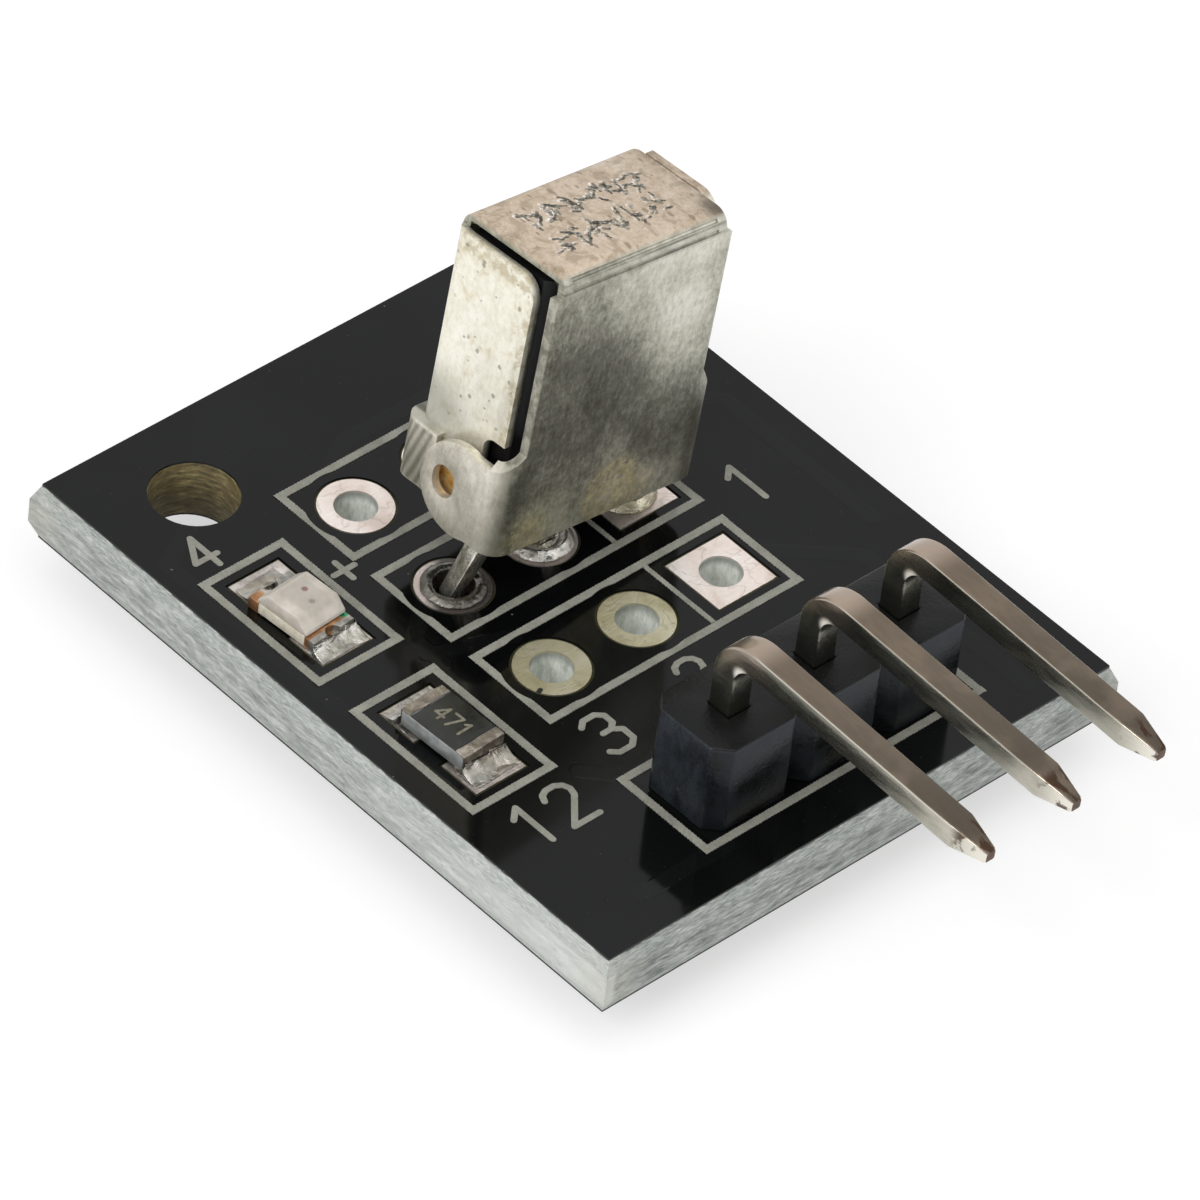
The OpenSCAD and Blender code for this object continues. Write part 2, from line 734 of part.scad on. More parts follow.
module receiver_shield() {
    color([0.72, 0.7, 0.62])
        placed_receiver()
            difference() {
                union() {
                    front_wrap();
                    difference() {
                        along_x(top_half_w) top_fold_2d();
                        translate([-top_half_w - 1, shield_half_d - sheet_t - 0.5, -1])
                            cube([2 * top_half_w + 2, 2, skirt_top - sheet_t + 1]);
                    }
                    translate([-rear_half_w, -shield_half_d, 0])
                        cube([2 * rear_half_w, sheet_t, shield_h - fold_r - 2 * coin_r]);
                    ears();
                    translate([0, shield_half_d - slop, window_z])
                        rotate([-90, 0, 0]) cylinder(h = collar_out + slop, r = window_r + sheet_t);
                }
                translate([0, shield_half_d - 2 * sheet_t, window_z])
                    rotate([-90, 0, 0]) cylinder(h = collar_out + 4 * sheet_t, r = window_r);
                ear_slots();
                coined_lines();
            }
}

module body_2d() {
    w = body_half_w;
    d = body_half_d;
    c = body_chamfer;
    f = body_front_chamfer;
    polygon([[-w, -d + c], [-w + c, -d], [w - c, -d], [w, -d + c], [w, d - f], [w - f, d], [-w + f, d], [-w, d - f]]);
}

module receiver_body() {
    color([0.13, 0.12, 0.14])
        placed_receiver() {
            translate([0, 0, body_foot]) linear_extrude(body_top - body_foot) body_2d();
            translate([0, lens_y, window_z])
                intersection() {
                    sphere(r = lens_r);
                    translate([0, lens_r, 0]) cube(2 * lens_r, center = true);
                }
        }
}

// A leg: flush with the body's foot above, leaned over to its hole, then straight down
module receiver_leg(pin) {
    hull() {
        placed_receiver()
            translate([(2 - pin) * leg_spread - leg_w / 2, -leg_back - leg_t / 2, body_foot - leg_root])
                cube([leg_w, leg_t, leg_root]);
        translate([row_x(rows_x, pin) - leg_w / 2, receiver_row_y - leg_t / 2, board_t - leg_bend_depth])
            cube([leg_w, leg_t, 2 * slop]);
    }
    translate([row_x(rows_x, pin) - leg_w / 2, receiver_row_y - leg_t / 2, tail_z])
        cube([leg_w, leg_t, board_t - leg_bend_depth - tail_z + slop]);
}

module coloured_leg(pin) {
    color([0.7, 0.68, 0.62]) receiver_leg(pin);
}

module receiver_leg_1() {
    coloured_leg(1);
}

module receiver_leg_2() {
    coloured_leg(2);
}

module receiver_leg_3() {
    coloured_leg(3);
}

// Solder of one leg: a filled hole, a cone below, and a low collar on the upper pad
module leg_joint(pin, fill_top, collar_h, collar_r) {
    lining_r = hole_d / 2 - lining_t;
    color([0.75, 0.74, 0.7])
        difference() {
            translate([row_x(rows_x, pin), receiver_row_y, 0]) {
                joint_fill(fill_top);
                translate([0, 0, pad_top])
                    rotate_extrude()
                        polygon([
                            [lining_r, 0], [collar_r, 0], [collar_r - 0.12, collar_h * 0.6],
                            [collar_r - 0.22, collar_h], [lining_r, collar_h * 0.7]
                        ]);
                if (fill_top < pad_top)
                    translate([0, 0, fill_top - slop])
                        rotate_extrude()
                            translate([lining_r, 0]) square([lining_t, pad_top - fill_top + 2 * slop]);
            }
            receiver_leg(pin);
        }
}

module receiver_solder_1() {
    leg_joint(1, pad_top + 0.12, 0.3, 0.8);
}

module receiver_solder_2() {
    leg_joint(2, pad_top + 0.1, 0.26, 0.84);
}

module receiver_solder_3() {
    leg_joint(3, pad_top - 0.6, 0.16, 0.82);
}

// Chips

// Concave wedge of solder that climbs a chip's end, drawn towards +Y
module solder_wedge(width, reach, height) {
    steps = 6;
    rotate([90, 0, 90])
        linear_extrude(width, center = true)
            polygon(concat(
                [[0, 0], [0, height]],
                [for (i = [1:steps])
                    let (a = 90 * i / steps)
                    [reach * (1 - cos(a)), height * (1 - sin(a)) + 0.02 * sin(a)]],
                [[reach, 0]]
            ));
}

// Solder at a chip's two ends: a film under each end and a wedge against it
module chip_solder(chip_l, width) {
    film = chip_z - pad_top;
    for (s = [0, 180])
        rotate([0, 0, s])
            translate([0, chip_l / 2, -film]) {
                solder_wedge(width, chip_solder_reach, chip_solder_h + film);
                translate([-width / 2, -chip_film_l, 0]) cube([width, chip_film_l + slop, film]);
            }
}

// The space over a chip's two pads, which its solder keeps to
module chip_pad_columns(y) {
    translate([0, 0, pad_top]) linear_extrude(1) chip_pads_2d(y, 0);
}

module placed_led() {
    translate([led_x, led_y, chip_z]) rotate([0, 0, led_turn]) children();
}

module placed_resistor() {
    translate([resistor_x, -resistor_y, chip_z]) rotate([0, 0, resistor_turn]) children();
}

module led_base() {
    color([0.85, 0.83, 0.76])
        placed_led()
            translate([-led_w / 2, -led_l / 2 + terminal_l, terminal_t])
                cube([led_w, led_l - 2 * terminal_l, led_base_t]);
}

module led_terminals() {
    color([0.75, 0.55, 0.33])
        placed_led()
            for (s = [-1, 1])
                difference() {
                    translate([-led_w / 2, s > 0 ? led_l / 2 - terminal_l : -led_l / 2, 0])
                        cube([led_w, terminal_l, led_base_t + terminal_t]);
                    translate([0, s * led_l / 2, -slop]) cylinder(h = led_base_t + terminal_t + 2 * slop, r = notch_r);
                }
}

module led_lens() {
    half = led_lens_l / 2;
    h = led_lens_h;
    wall = led_lens_wall;
    color([0.86, 0.84, 0.8])
        placed_led()
            translate([0, 0, led_base_t + terminal_t])
                rotate([90, 0, 90])
                    linear_extrude(led_w, center = true)
                        polygon([[-half, 0], [half, 0], [half, wall], [half - led_lens_slope, h], [-half + led_lens_slope, h], [-half, wall]]);
}

module led_solder() {
    color([0.74, 0.73, 0.7])
        intersection() {
            placed_led() chip_solder(led_l, led_w + 2 * chip_solder_out);
            chip_pad_columns(led_pads_y);
        }
}

module resistor_body() {
    color([0.8, 0.81, 0.83])
        placed_resistor()
            translate([-resistor_w / 2, -resistor_l / 2 + cap_t, cap_t])
                cube([resistor_w, resistor_l - 2 * cap_t, resistor_h - 2 * cap_t]);
}

module resistor_caps() {
    color([0.76, 0.75, 0.73])
        placed_resistor()
            for (s = [0, 180])
                rotate([0, 0, s])
                    translate([-resistor_w / 2, resistor_l / 2 - cap_l, 0])
                        difference() {
                            cube([resistor_w, cap_l, resistor_h]);
                            translate([-1, -1, cap_t]) cube([resistor_w + 2, cap_l - cap_t + 1, resistor_h - 2 * cap_t]);
                        }
}

module resistor_coat() {
    color([0.13, 0.14, 0.12])
        placed_resistor()
            translate([-resistor_w / 2 + coat_inset, -resistor_l / 2 + cap_l + slop, resistor_h - cap_t])
                cube([resistor_w - 2 * coat_inset, resistor_l - 2 * cap_l - 2 * slop, coat_t]);
}

module resistor_solder() {
    color([0.78, 0.77, 0.75])
        intersection() {
            placed_resistor() chip_solder(resistor_l, resistor_w + 2 * chip_solder_out);
            chip_pad_columns(resistor_pads_y);
        }
}

circuit_board();
solder_mask_top();
solder_mask_bottom();
printed_frames();
spare_holes_far();
receiver_holes();
spare_holes_near();
header_holes();
led_pads();
resistor_pads();
header_housing();
header_pin_1();
header_pin_2();
header_pin_3();
header_solder();
receiver_shield();
receiver_body();
receiver_leg_1();
receiver_leg_2();
receiver_leg_3();
receiver_solder_1();
receiver_solder_2();
receiver_solder_3();
led_base();
led_lens();
led_terminals();
led_solder();
resistor_body();
resistor_coat();
resistor_caps();
resistor_solder();
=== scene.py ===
import math
import random
import bmesh
import bpy
from mathutils import Matrix, Vector, noise as field


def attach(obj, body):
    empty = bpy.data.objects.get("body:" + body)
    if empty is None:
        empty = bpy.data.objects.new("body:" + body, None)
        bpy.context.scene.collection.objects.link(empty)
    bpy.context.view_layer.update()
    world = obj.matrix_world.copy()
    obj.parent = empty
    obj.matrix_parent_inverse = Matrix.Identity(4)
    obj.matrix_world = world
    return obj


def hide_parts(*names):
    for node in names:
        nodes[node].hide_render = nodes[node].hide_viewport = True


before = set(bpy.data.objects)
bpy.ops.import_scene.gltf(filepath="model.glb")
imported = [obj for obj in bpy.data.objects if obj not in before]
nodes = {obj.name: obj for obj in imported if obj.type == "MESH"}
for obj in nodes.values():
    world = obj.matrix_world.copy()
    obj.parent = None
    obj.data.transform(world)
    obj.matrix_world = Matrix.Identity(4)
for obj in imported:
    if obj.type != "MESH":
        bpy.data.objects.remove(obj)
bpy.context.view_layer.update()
MM = 0.001

# Sizes of the model, in millimetres
BOARD_HALF_W, BOARD_HALF_L = 7.5, 9.25
CORE_LOW, CORE_HIGH, BOARD_TOP = 0.05, 1.55, 1.6
SCORE_DEPTH, WEB_OUT = 0.42, 0.18
MOUNT_HOLE = (-5.02, 7.0)
PITCH = 2.54
ROWS_X, RECEIVER_ROW_Y, ROW_SPACING = 0.14, 1.35, 3.216
FAR_ROW_Y = RECEIVER_ROW_Y + ROW_SPACING
NEAR_ROW_Y = RECEIVER_ROW_Y - ROW_SPACING
HEADER_X, HEADER_Y = 0.53, -6.75
PIN_SIDE, PIN_RISE, BEND_R, PIN_ARM, PIN_DROOP = 0.64, 4.3, 0.85, 6.95, 2.5
PIN_TAPER, PIN_END, TAIL = 0.95, 0.3, 1.25
LED_AT, LED_TURN = (-5.78, 2.6, 1.61), 4
RESISTOR_AT, RESISTOR_TURN = (-5.65, -2.18, 1.61), 2
LEAN, TIP, TURN = 8.1, 2.8, 0.8
INK_T, LINE_W, THIN_LINE_W = 0.02, 0.22, 0.14
STROKE_LIFT = 0.0006  # each stroke of a sign stands this much over the last, so that none coincide
ROW_FRAME = (7.62, 2.67)
HEADER_FRAME = (3 * PITCH + 0.8, 2.9)
CHIP_FRAMES_X, CHIP_FRAMES_Y, CHIP_FRAME = -5.66, (2.73, -2.25), (2.5, 4.04)
PAD_CLEAR = 1.17
RECEIVER_AT = (0.41, 1.62, 3.22)
SHIELD_TOP = 7.0  # in the receiver's own leaning frame
FLOOR_R, FLOOR_SIDES = 2.0, 48  # the radius in metres

# Camera: its place in millimetres, its two directions and its lens
CAMERA_AT = (-130.97, -119.76, 165.67)
CAMERA_LOOK, CAMERA_RIGHT = (0.5427, 0.4926, -0.6803), (0.7321, -0.6745, 0.0956)
CAMERA_LENS, CAMERA_SENSOR, CAMERA_SHIFT = 329.9, 36, -0.0013

receiver_place = (
    Matrix.Translation(RECEIVER_AT)
    @ Matrix.Rotation(math.radians(-TIP), 4, "X")
    @ Matrix.Rotation(math.radians(LEAN), 4, "Y")
    @ Matrix.Rotation(math.radians(TURN), 4, "Z")
)
led_place = Matrix.Translation(LED_AT) @ Matrix.Rotation(math.radians(LED_TURN), 4, "Z")
resistor_place = Matrix.Translation(RESISTOR_AT) @ Matrix.Rotation(math.radians(RESISTOR_TURN), 4, "Z")


def row_x(middle, pin):
    """The place of a hole in a row of three, counted from the square pad."""
    return middle + (2 - pin) * PITCH


def placed(name, data):
    """A new object with this data, put into the scene."""
    made = bpy.data.objects.new(name, data)
    bpy.context.scene.collection.objects.link(made)
    return made


# The camera stands as far off as the photograph's nearly parallel lines need
camera_data = bpy.data.cameras.new("camera")
camera = placed("camera", camera_data)
camera_data.sensor_width = CAMERA_SENSOR
camera_data.lens = CAMERA_LENS
camera_data.clip_start = 0.01
camera_data.clip_end = 20
look = Vector(CAMERA_LOOK).normalized()
right = Vector(CAMERA_RIGHT)
right = (right - look * right.dot(look)).normalized()
up = right.cross(look)
camera_turn = Matrix((right, up, -look)).transposed().to_4x4()
camera.matrix_world = Matrix.Translation(Vector(CAMERA_AT) * MM) @ camera_turn
camera_data.shift_x = CAMERA_SHIFT
bpy.context.scene.camera = camera
bpy.context.scene.view_settings.view_transform = "Standard"


# Node trees

def colour(text):
    """A colour as it looks on the object, written as six hex digits."""
    parts = [int(text[i:i + 2], 16) / 255 for i in (1, 3, 5)]
    return tuple(c / 12.92 if c <= 0.04045 else ((c + 0.055) / 1.055) ** 2.4 for c in parts) + (1,)


class Tree:
    """Short calls that add and join the nodes of one tree."""

    def __init__(self, tree):
        self.tree = tree

    def put(self, socket, value):
        if isinstance(value, bpy.types.NodeSocket):
            self.tree.links.new(value, socket)
        elif value is not None:
            socket.default_value = value

    def add(self, kind, inputs=(), **settings):
        node = self.tree.nodes.new(kind)
        for name, value in settings.items():
            setattr(node, name, value)
        for key, value in dict(inputs).items():
            self.put(node.inputs[key], value)
        return node

    def math(self, operation, a, b=None, clamp=False):
        node = self.add("ShaderNodeMath", {0: a, 1: b}, operation=operation, use_clamp=clamp)
        return node.outputs[0]

    def times(self, a, b):
        return self.math("MULTIPLY", a, b)

    def plus(self, a, b):
        return self.math("ADD", a, b)

    def vector(self, operation, a, b=None, scale=None):
        node = self.add("ShaderNodeVectorMath", {0: a, 1: b}, operation=operation)
        if scale is not None:
            self.put(node.inputs["Scale"], scale)
        return node.outputs["Value" if operation in ("LENGTH", "DOT_PRODUCT", "DISTANCE") else "Vector"]

    def split(self, vector):
        return self.add("ShaderNodeSeparateXYZ", {0: vector}).outputs

    def facing(self):
        """The three parts of the direction that the surface faces."""
        return self.split(self.add("ShaderNodeNewGeometry").outputs["Normal"])

    def noise(self, vector, scale, detail=4, roughness=0.55, distortion=0.0, output="Fac"):
        node = self.add("ShaderNodeTexNoise", {
            "Vector": vector, "Scale": scale, "Detail": detail, "Roughness": roughness,
            "Distortion": distortion,
        })
        return node.outputs[output]

    def fade(self, value, low, high, start=0.0, end=1.0):
        """A smooth step of value from low to high."""
        node = self.add("ShaderNodeMapRange", {
            "Value": value, "From Min": low, "From Max": high, "To Min": start, "To Max": end,
        }, interpolation_type="SMOOTHSTEP")
        return node.outputs[0]

    def fall(self, value, low, high, start=1.0):
        """A smooth step down to nothing."""
        return self.fade(value, low, high, start, 0.0)

    def ramp(self, value, stops):
        node = self.add("ShaderNodeValToRGB", {0: value})
        elements = node.color_ramp.elements
        while len(elements) < len(stops):
            elements.new(0.5)
        for element, (at, shade) in zip(elements, stops):
            element.position = at
            element.color = colour(shade)
        return node.outputs[0]

    def mix(self, factor, a, b):
        node = self.add("ShaderNodeMix", data_type="RGBA", blend_type="MIX")
        for index, value in ((0, factor), (6, a), (7, b)):
            self.put(node.inputs[index], colour(value) if isinstance(value, str) else value)
        return node.outputs[2]

    def tint(self, shade, other, mask, amount):
        """The shade with an amount of another colour where the mask is."""
        return self.mix(self.times(mask, amount), shade, other)

    def bump(self, height, distance, strength):
        node = self.add("ShaderNodeBump", {"Height": height, "Distance": distance, "Strength": strength})
        return node.outputs[0]

    def group(self, name, inputs):
        node = self.add("ShaderNodeGroup", node_tree=bpy.data.node_groups[name])
        for key, value in inputs.items():
            self.put(node.inputs[key], value)
        return node.outputs


def group(name, inputs, outputs):
    """A new node group with named sockets, given back as its tree and its inner ends."""
    made = bpy.data.node_groups.new(name, "ShaderNodeTree")
    for label, kind, value in inputs:
        socket = made.interface.new_socket(name=label, in_out="INPUT", socket_type="NodeSocket" + kind)
        if value is not None:
            socket.default_value = value
    for label, kind in outputs:
        made.interface.new_socket(name=label, in_out="OUTPUT", socket_type="NodeSocket" + kind)
    tree = Tree(made)
    return tree, tree.add("NodeGroupInput").outputs, tree.add("NodeGroupOutput").inputs


def make_millimetres_group():
    """Places on the part in millimetres, from the part's own frame."""
    tree, _, out = group("millimetres", [], [("Place", "Vector")])
    place = tree.add("ShaderNodeTexCoord").outputs["Object"]
    tree.put(out["Place"], tree.vector("SCALE", place, scale=1000))


def make_frame_group(name, place):
    """Places in the frame of a component that sits turned or leaning on the board."""
    tree, ends, out = group(name, [("Place", "Vector", None)], [("Local", "Vector")])
    turn = place.to_euler("XYZ")
    node = tree.add("ShaderNodeMapping", {
        "Vector": ends["Place"], "Location": place.to_translation(), "Rotation": turn,
    }, vector_type="TEXTURE")
    tree.put(out["Local"], node.outputs[0])


def make_stroke_group():
    """A mask of one straight stroke with round ends, worn at its rim."""
    tree, ends, out = group("stroke", [
        ("Place", "Vector", None), ("Start", "Vector", (0, 0, 0)), ("End", "Vector", (1, 0, 0)),
        ("Half Width", "Float", 0.1), ("Softness", "Float", 0.02),
    ], [("Mask", "Float")])
    along = tree.vector("SUBTRACT", ends["End"], ends["Start"])
    across = tree.vector("SUBTRACT", ends["Place"], ends["Start"])
    share = tree.math(
        "DIVIDE", tree.vector("DOT_PRODUCT", across, along), tree.vector("DOT_PRODUCT", along, along),
        clamp=True)
    gap = tree.vector("LENGTH", tree.vector("SUBTRACT", across, tree.vector("SCALE", along, scale=share)))
    low = tree.math("SUBTRACT", ends["Half Width"], ends["Softness"])
    high = tree.plus(ends["Half Width"], ends["Softness"])
    tree.put(out["Mask"], tree.fall(gap, low, high))


def make_specks_group():
    """A mask of scattered small specks of uneven size."""
    tree, ends, out = group("specks", [
        ("Place", "Vector", None), ("Scale", "Float", 5.0), ("Size", "Float", 0.2), ("Share", "Float", 0.5),
    ], [("Mask", "Float")])
    bent = tree.vector("ADD", ends["Place"], tree.vector(
        "SCALE", tree.noise(ends["Place"], tree.times(ends["Scale"], 2.3), 2, output="Color"), scale=0.08))
    cell = tree.add("ShaderNodeTexVoronoi", {"Vector": bent, "Scale": ends["Scale"]})
    kept = tree.math("LESS_THAN", tree.split(cell.outputs["Color"])[0], ends["Share"])
    size = tree.times(ends["Size"], tree.fade(tree.split(cell.outputs["Color"])[1], 0.0, 1.0, 0.5, 1.0))
    spot = tree.fall(cell.outputs["Distance"], tree.times(size, 0.5), size)
    tree.put(out["Mask"], tree.times(spot, kept))


def make_streaks_group():
    """Fine streaks along one direction, as rolling, drawing or wiping leaves them."""
    tree, ends, out = group("streaks", [
        ("Place", "Vector", None), ("Stretch", "Vector", (1, 1, 1)), ("Scale", "Float", 6.0),
        ("Contrast", "Float", 0.2),
    ], [("Value", "Float")])
    wide = tree.vector("MULTIPLY", ends["Place"], ends["Stretch"])
    value = tree.noise(wide, ends["Scale"], 6, 0.65)
    low = tree.math("SUBTRACT", 0.5, ends["Contrast"])
    high = tree.plus(0.5, ends["Contrast"])
    tree.put(out["Value"], tree.fade(value, low, high))


def make_between_group():
    """A mask that is one between two values and fades just outside them."""
    tree, ends, out = group("between", [
        ("Value", "Float", 0.0), ("Low", "Float", 0.0), ("High", "Float", 1.0), ("Fade", "Float", 0.05),
    ], [("Mask", "Float")])
    rise = tree.fade(ends["Value"], tree.math("SUBTRACT", ends["Low"], ends["Fade"]), ends["Low"])
    fall = tree.fall(ends["Value"], ends["High"], tree.plus(ends["High"], ends["Fade"]))
    tree.put(out["Mask"], tree.times(rise, fall))


make_millimetres_group()
make_frame_group("receiver_frame", receiver_place)
make_frame_group("led_frame", led_place)
make_frame_group("resistor_frame", resistor_place)
make_stroke_group()
make_specks_group()
make_streaks_group()
make_between_group()


def material(name, build, **finish):
    """A material from a build function that gives its varying inputs, with its constants in finish."""
    made = bpy.data.materials.new(name)
    made.use_nodes = True
    tree = Tree(made.node_tree)
    shader = made.node_tree.nodes["Principled BSDF"]
    for key, value in finish.items():
        shader.inputs[key.replace("_", " ").title().replace("Ior", "IOR")].default_value = value
    place = tree.group("millimetres", {})["Place"]
    for key, value in build(tree, place).items():
        tree.put(shader.inputs[key], colour(value) if isinstance(value, str) else value)
    return made


def any_of(tree, masks):
    """The strongest of several masks."""
    result = masks[0]
    for mask in masks[1:]:
        result = tree.math("MAXIMUM", result, mask)
    return result


def strokes(tree, place, lines, half_width, softness):
    """A mask of straight strokes on the board's plane."""
    return any_of(tree, [
        tree.group("stroke", {
            "Place": place, "Start": tuple(a) + (0,), "End": tuple(b) + (0,),
            "Half Width": half_width, "Softness": softness,
        })["Mask"]
        for a, b in lines
    ])


def between(tree, value, low, high, fade):
    """A mask that is one from low to high."""
    return tree.group("between", {"Value": value, "Low": low, "High": high, "Fade": fade})["Mask"]


def flat(tree, place):
    """The place with its height left out."""
    return tree.vector("MULTIPLY", place, (1, 1, 0))


def specks(tree, place, scale, size, share):
    """A mask of scattered specks."""
    return tree.group("specks", {"Place": place, "Scale": scale, "Size": size, "Share": share})["Mask"]


def streaks(tree, place, stretch, scale, contrast):
    """A value that runs in streaks, from 0 to 1."""
    ends = {"Place": place, "Stretch": stretch, "Scale": scale, "Contrast": contrast}
    return tree.group("streaks", ends)["Value"]


def near(tree, place, spot, inner, outer, amount=1.0):
    """An amount round a spot, which fades away from the inner to the outer distance."""
    return tree.fall(tree.vector("DISTANCE", place, spot), inner, outer, amount)


def skin(tree, shade, rough, height, depth, strength, **more):
    """What a build function gives: colour, roughness and relief, with its depth in millimetres."""
    relief = tree.bump(height, depth * MM, strength)
    return {"Base Color": shade, "Roughness": rough, "Normal": relief, **more}


def clouded(grain, stops, rough, depth, strength):
    """A build function for a finish whose colour, gloss and relief follow one cloud."""
    def build(tree, place):
        cloud = tree.noise(place, *grain)
        shade = tree.ramp(cloud, stops)
        return skin(tree, shade, tree.fade(cloud, 0.3, 0.7, *rough), cloud, depth, strength)
    return build


def fibre_core(tree, place):
    """Woven glass in resin at the cut edges, with painted light on the left edge, and brown resin inside the
    bored hole.
    """
    x, y, z = tree.split(place)
    weave = streaks(tree, place, (0.5, 0.5, 2.8), 2.8, 0.2)
    threads = streaks(tree, place, (1.0, 1.0, 9), 5.0, 0.19)
    tufts = tree.noise(tree.vector("MULTIPLY", place, (0.7, 0.7, 1.5)), 1.9, 6, 0.7, 0.6)
    value = tree.plus(tree.times(weave, 0.42), tree.times(threads, 0.24))
    value = tree.plus(value, tree.times(tufts, 0.4))
    shade = tree.ramp(value, [
        (0.2, "#646A68"), (0.38, "#878C89"), (0.54, "#A0A4A0"), (0.7, "#BCBFBB"), (0.88, "#D9DBD6")])
    pits = specks(tree, tree.vector("MULTIPLY", place, (1, 1, 1.6)), 3.4, 0.26, 0.42)
    shade = tree.tint(shade, "#565C5A", pits, 0.45)
    # Painted light: the left edge face is painted lighter, most towards the near corner.
    left = tree.times(tree.fall(x, -7.45, -7.3), tree.fade(y, -9.3, 1.0, 0.75, 0.14))
    shade = tree.mix(left, shade, "#E2E4E0")
    corner = tree.fade(tree.plus(tree.math("ABSOLUTE", x), tree.math("ABSOLUTE", y)), 15.6, 16.7)
    shade = tree.tint(shade, "#C9C8B8", corner, 0.3)
    scored = any_of(tree, [between(tree, z, 1.2, 1.54, 0.05), between(tree, z, 0.06, 0.3, 0.05)])
    scraped = tree.ramp(threads, [(0.2, "#8C9391"), (0.6, "#B3B8B4"), (0.9, "#CDD1CC")])
    shade = tree.tint(shade, scraped, scored, 0.5)
    lip = tree.times(tree.fade(z, 1.5, 1.55), tree.fade(tree.noise(place, 2.4, 4), 0.46, 0.54))
    shade = tree.tint(shade, "#2A2D2C", lip, 0.8)
    resin = tree.fade(z, 1.546, 1.549)
    shade = tree.mix(resin, shade, "#3B3A22")
    gap = tree.vector("DISTANCE", flat(tree, place), (MOUNT_HOLE[0], MOUNT_HOLE[1], 0))
    bored = tree.fall(gap, 1.25, 1.4)
    ring = tree.noise(tree.vector("MULTIPLY", place, (1, 1, 4)), 3.0, 5, 0.6)
    wall = tree.ramp(ring, [(0.3, "#3A3420"), (0.55, "#6F6340"), (0.75, "#A0946A")])
    shade = tree.mix(bored, shade, wall)
    height = tree.plus(tree.times(value, 0.9), tree.times(tree.noise(place, 16, 4), 0.3))
    height = tree.math("SUBTRACT", height, tree.times(pits, 0.5))
    return skin(tree, shade, tree.fade(value, 0.2, 0.9, 0.75, 0.5), height, 0.06, 0.6)


# Copper lines under the mask, from end to end
TRACES = [
    ((-7.0, -0.1), (-7.0, 5.6)), ((-7.0, 5.6), (-5.9, 6.2)), ((-4.2, -0.3), (-4.2, 0.6)),
    ((-4.2, 0.6), (-3.2, 1.35)), ((-4.1, -4.6), (-3.1, -5.6)), ((-3.1, -5.6), (-3.1, -8.2)),
    ((-3.1, -8.2), (-5.6, -8.2)), ((3.9, -1.9), (5.6, -3.4)), ((5.6, -3.4), (5.6, -8.6)),
    ((4.0, 4.6), (6.6, 2.2)), ((6.6, 2.2), (6.6, -2.6)), ((-1.2, 6.3), (3.6, 6.3)),
    ((-1.2, 6.3), (-2.4, 5.6)), ((-4.3, 0.1), (-2.4, -0.6))]


def black_mask(tree, place):
    """Glossy black mask with the tone and relief of the copper lines under it."""
    bent = tree.vector("ADD", flat(tree, place), tree.vector(
        "SCALE", tree.noise(place, 0.7, 2, output="Color"), scale=0.05))
    trace = strokes(tree, bent, TRACES, 0.21, 0.035)
    cloud = tree.noise(place, 0.33, 4, 0.5)
    orange_peel = tree.noise(place, 1.1, 3, 0.5)
    dust = specks(tree, place, 2.0, 0.08, 0.24)
    fine_dust = specks(tree, place, 6.5, 0.14, 0.2)
    shade = tree.ramp(cloud, [(0.3, "#070808"), (0.5, "#0A0B0B"), (0.7, "#0E0F0F")])
    shade = tree.tint(shade, "#131514", trace, 0.4)
    shade = tree.tint(shade, "#8A8A82", dust, 0.4)
    shade = tree.tint(shade, "#5C5C56", fine_dust, 0.22)
    height = tree.plus(trace, tree.times(orange_peel, 0.25))
    rough = tree.plus(tree.fade(cloud, 0.3, 0.7, 0.07, 0.12), tree.times(dust, 0.4))
    return skin(tree, shade, rough, height, 0.006, 0.4)


def grey_ink(tree, place):
    """Printed ink, grainy and slightly pitted."""
    cloud = tree.noise(place, 1.3, 5, 0.65)
    grain = tree.noise(place, 13, 3, 0.6)
    shade = tree.ramp(tree.plus(tree.times(cloud, 0.6), tree.times(grain, 0.4)), [
        (0.32, "#77776E"), (0.5, "#8F8F85"), (0.68, "#A3A398")])
    pits = specks(tree, place, 9, 0.22, 0.3)
    shade = tree.tint(shade, "#4C4C46", pits, 0.4)
    return skin(tree, shade, tree.fade(grain, 0.3, 0.7, 0.5, 0.7), grain, 0.01, 0.6)


# Small bites in the plated pads, from end to end
NOTCHES = [
    ((3.66, 5.42), (3.52, 5.5)), ((3.7, -0.95), (3.58, -0.9)), ((3.66, -2.8), (3.5, -2.78)),
    ((-3.2, 3.78), (-3.06, 3.84)), ((-1.44, 3.88), (-1.56, 3.94)), ((-3.22, -2.3), (-3.08, -2.24)),
    ((1.68, -2.9), (1.74, -2.74))]


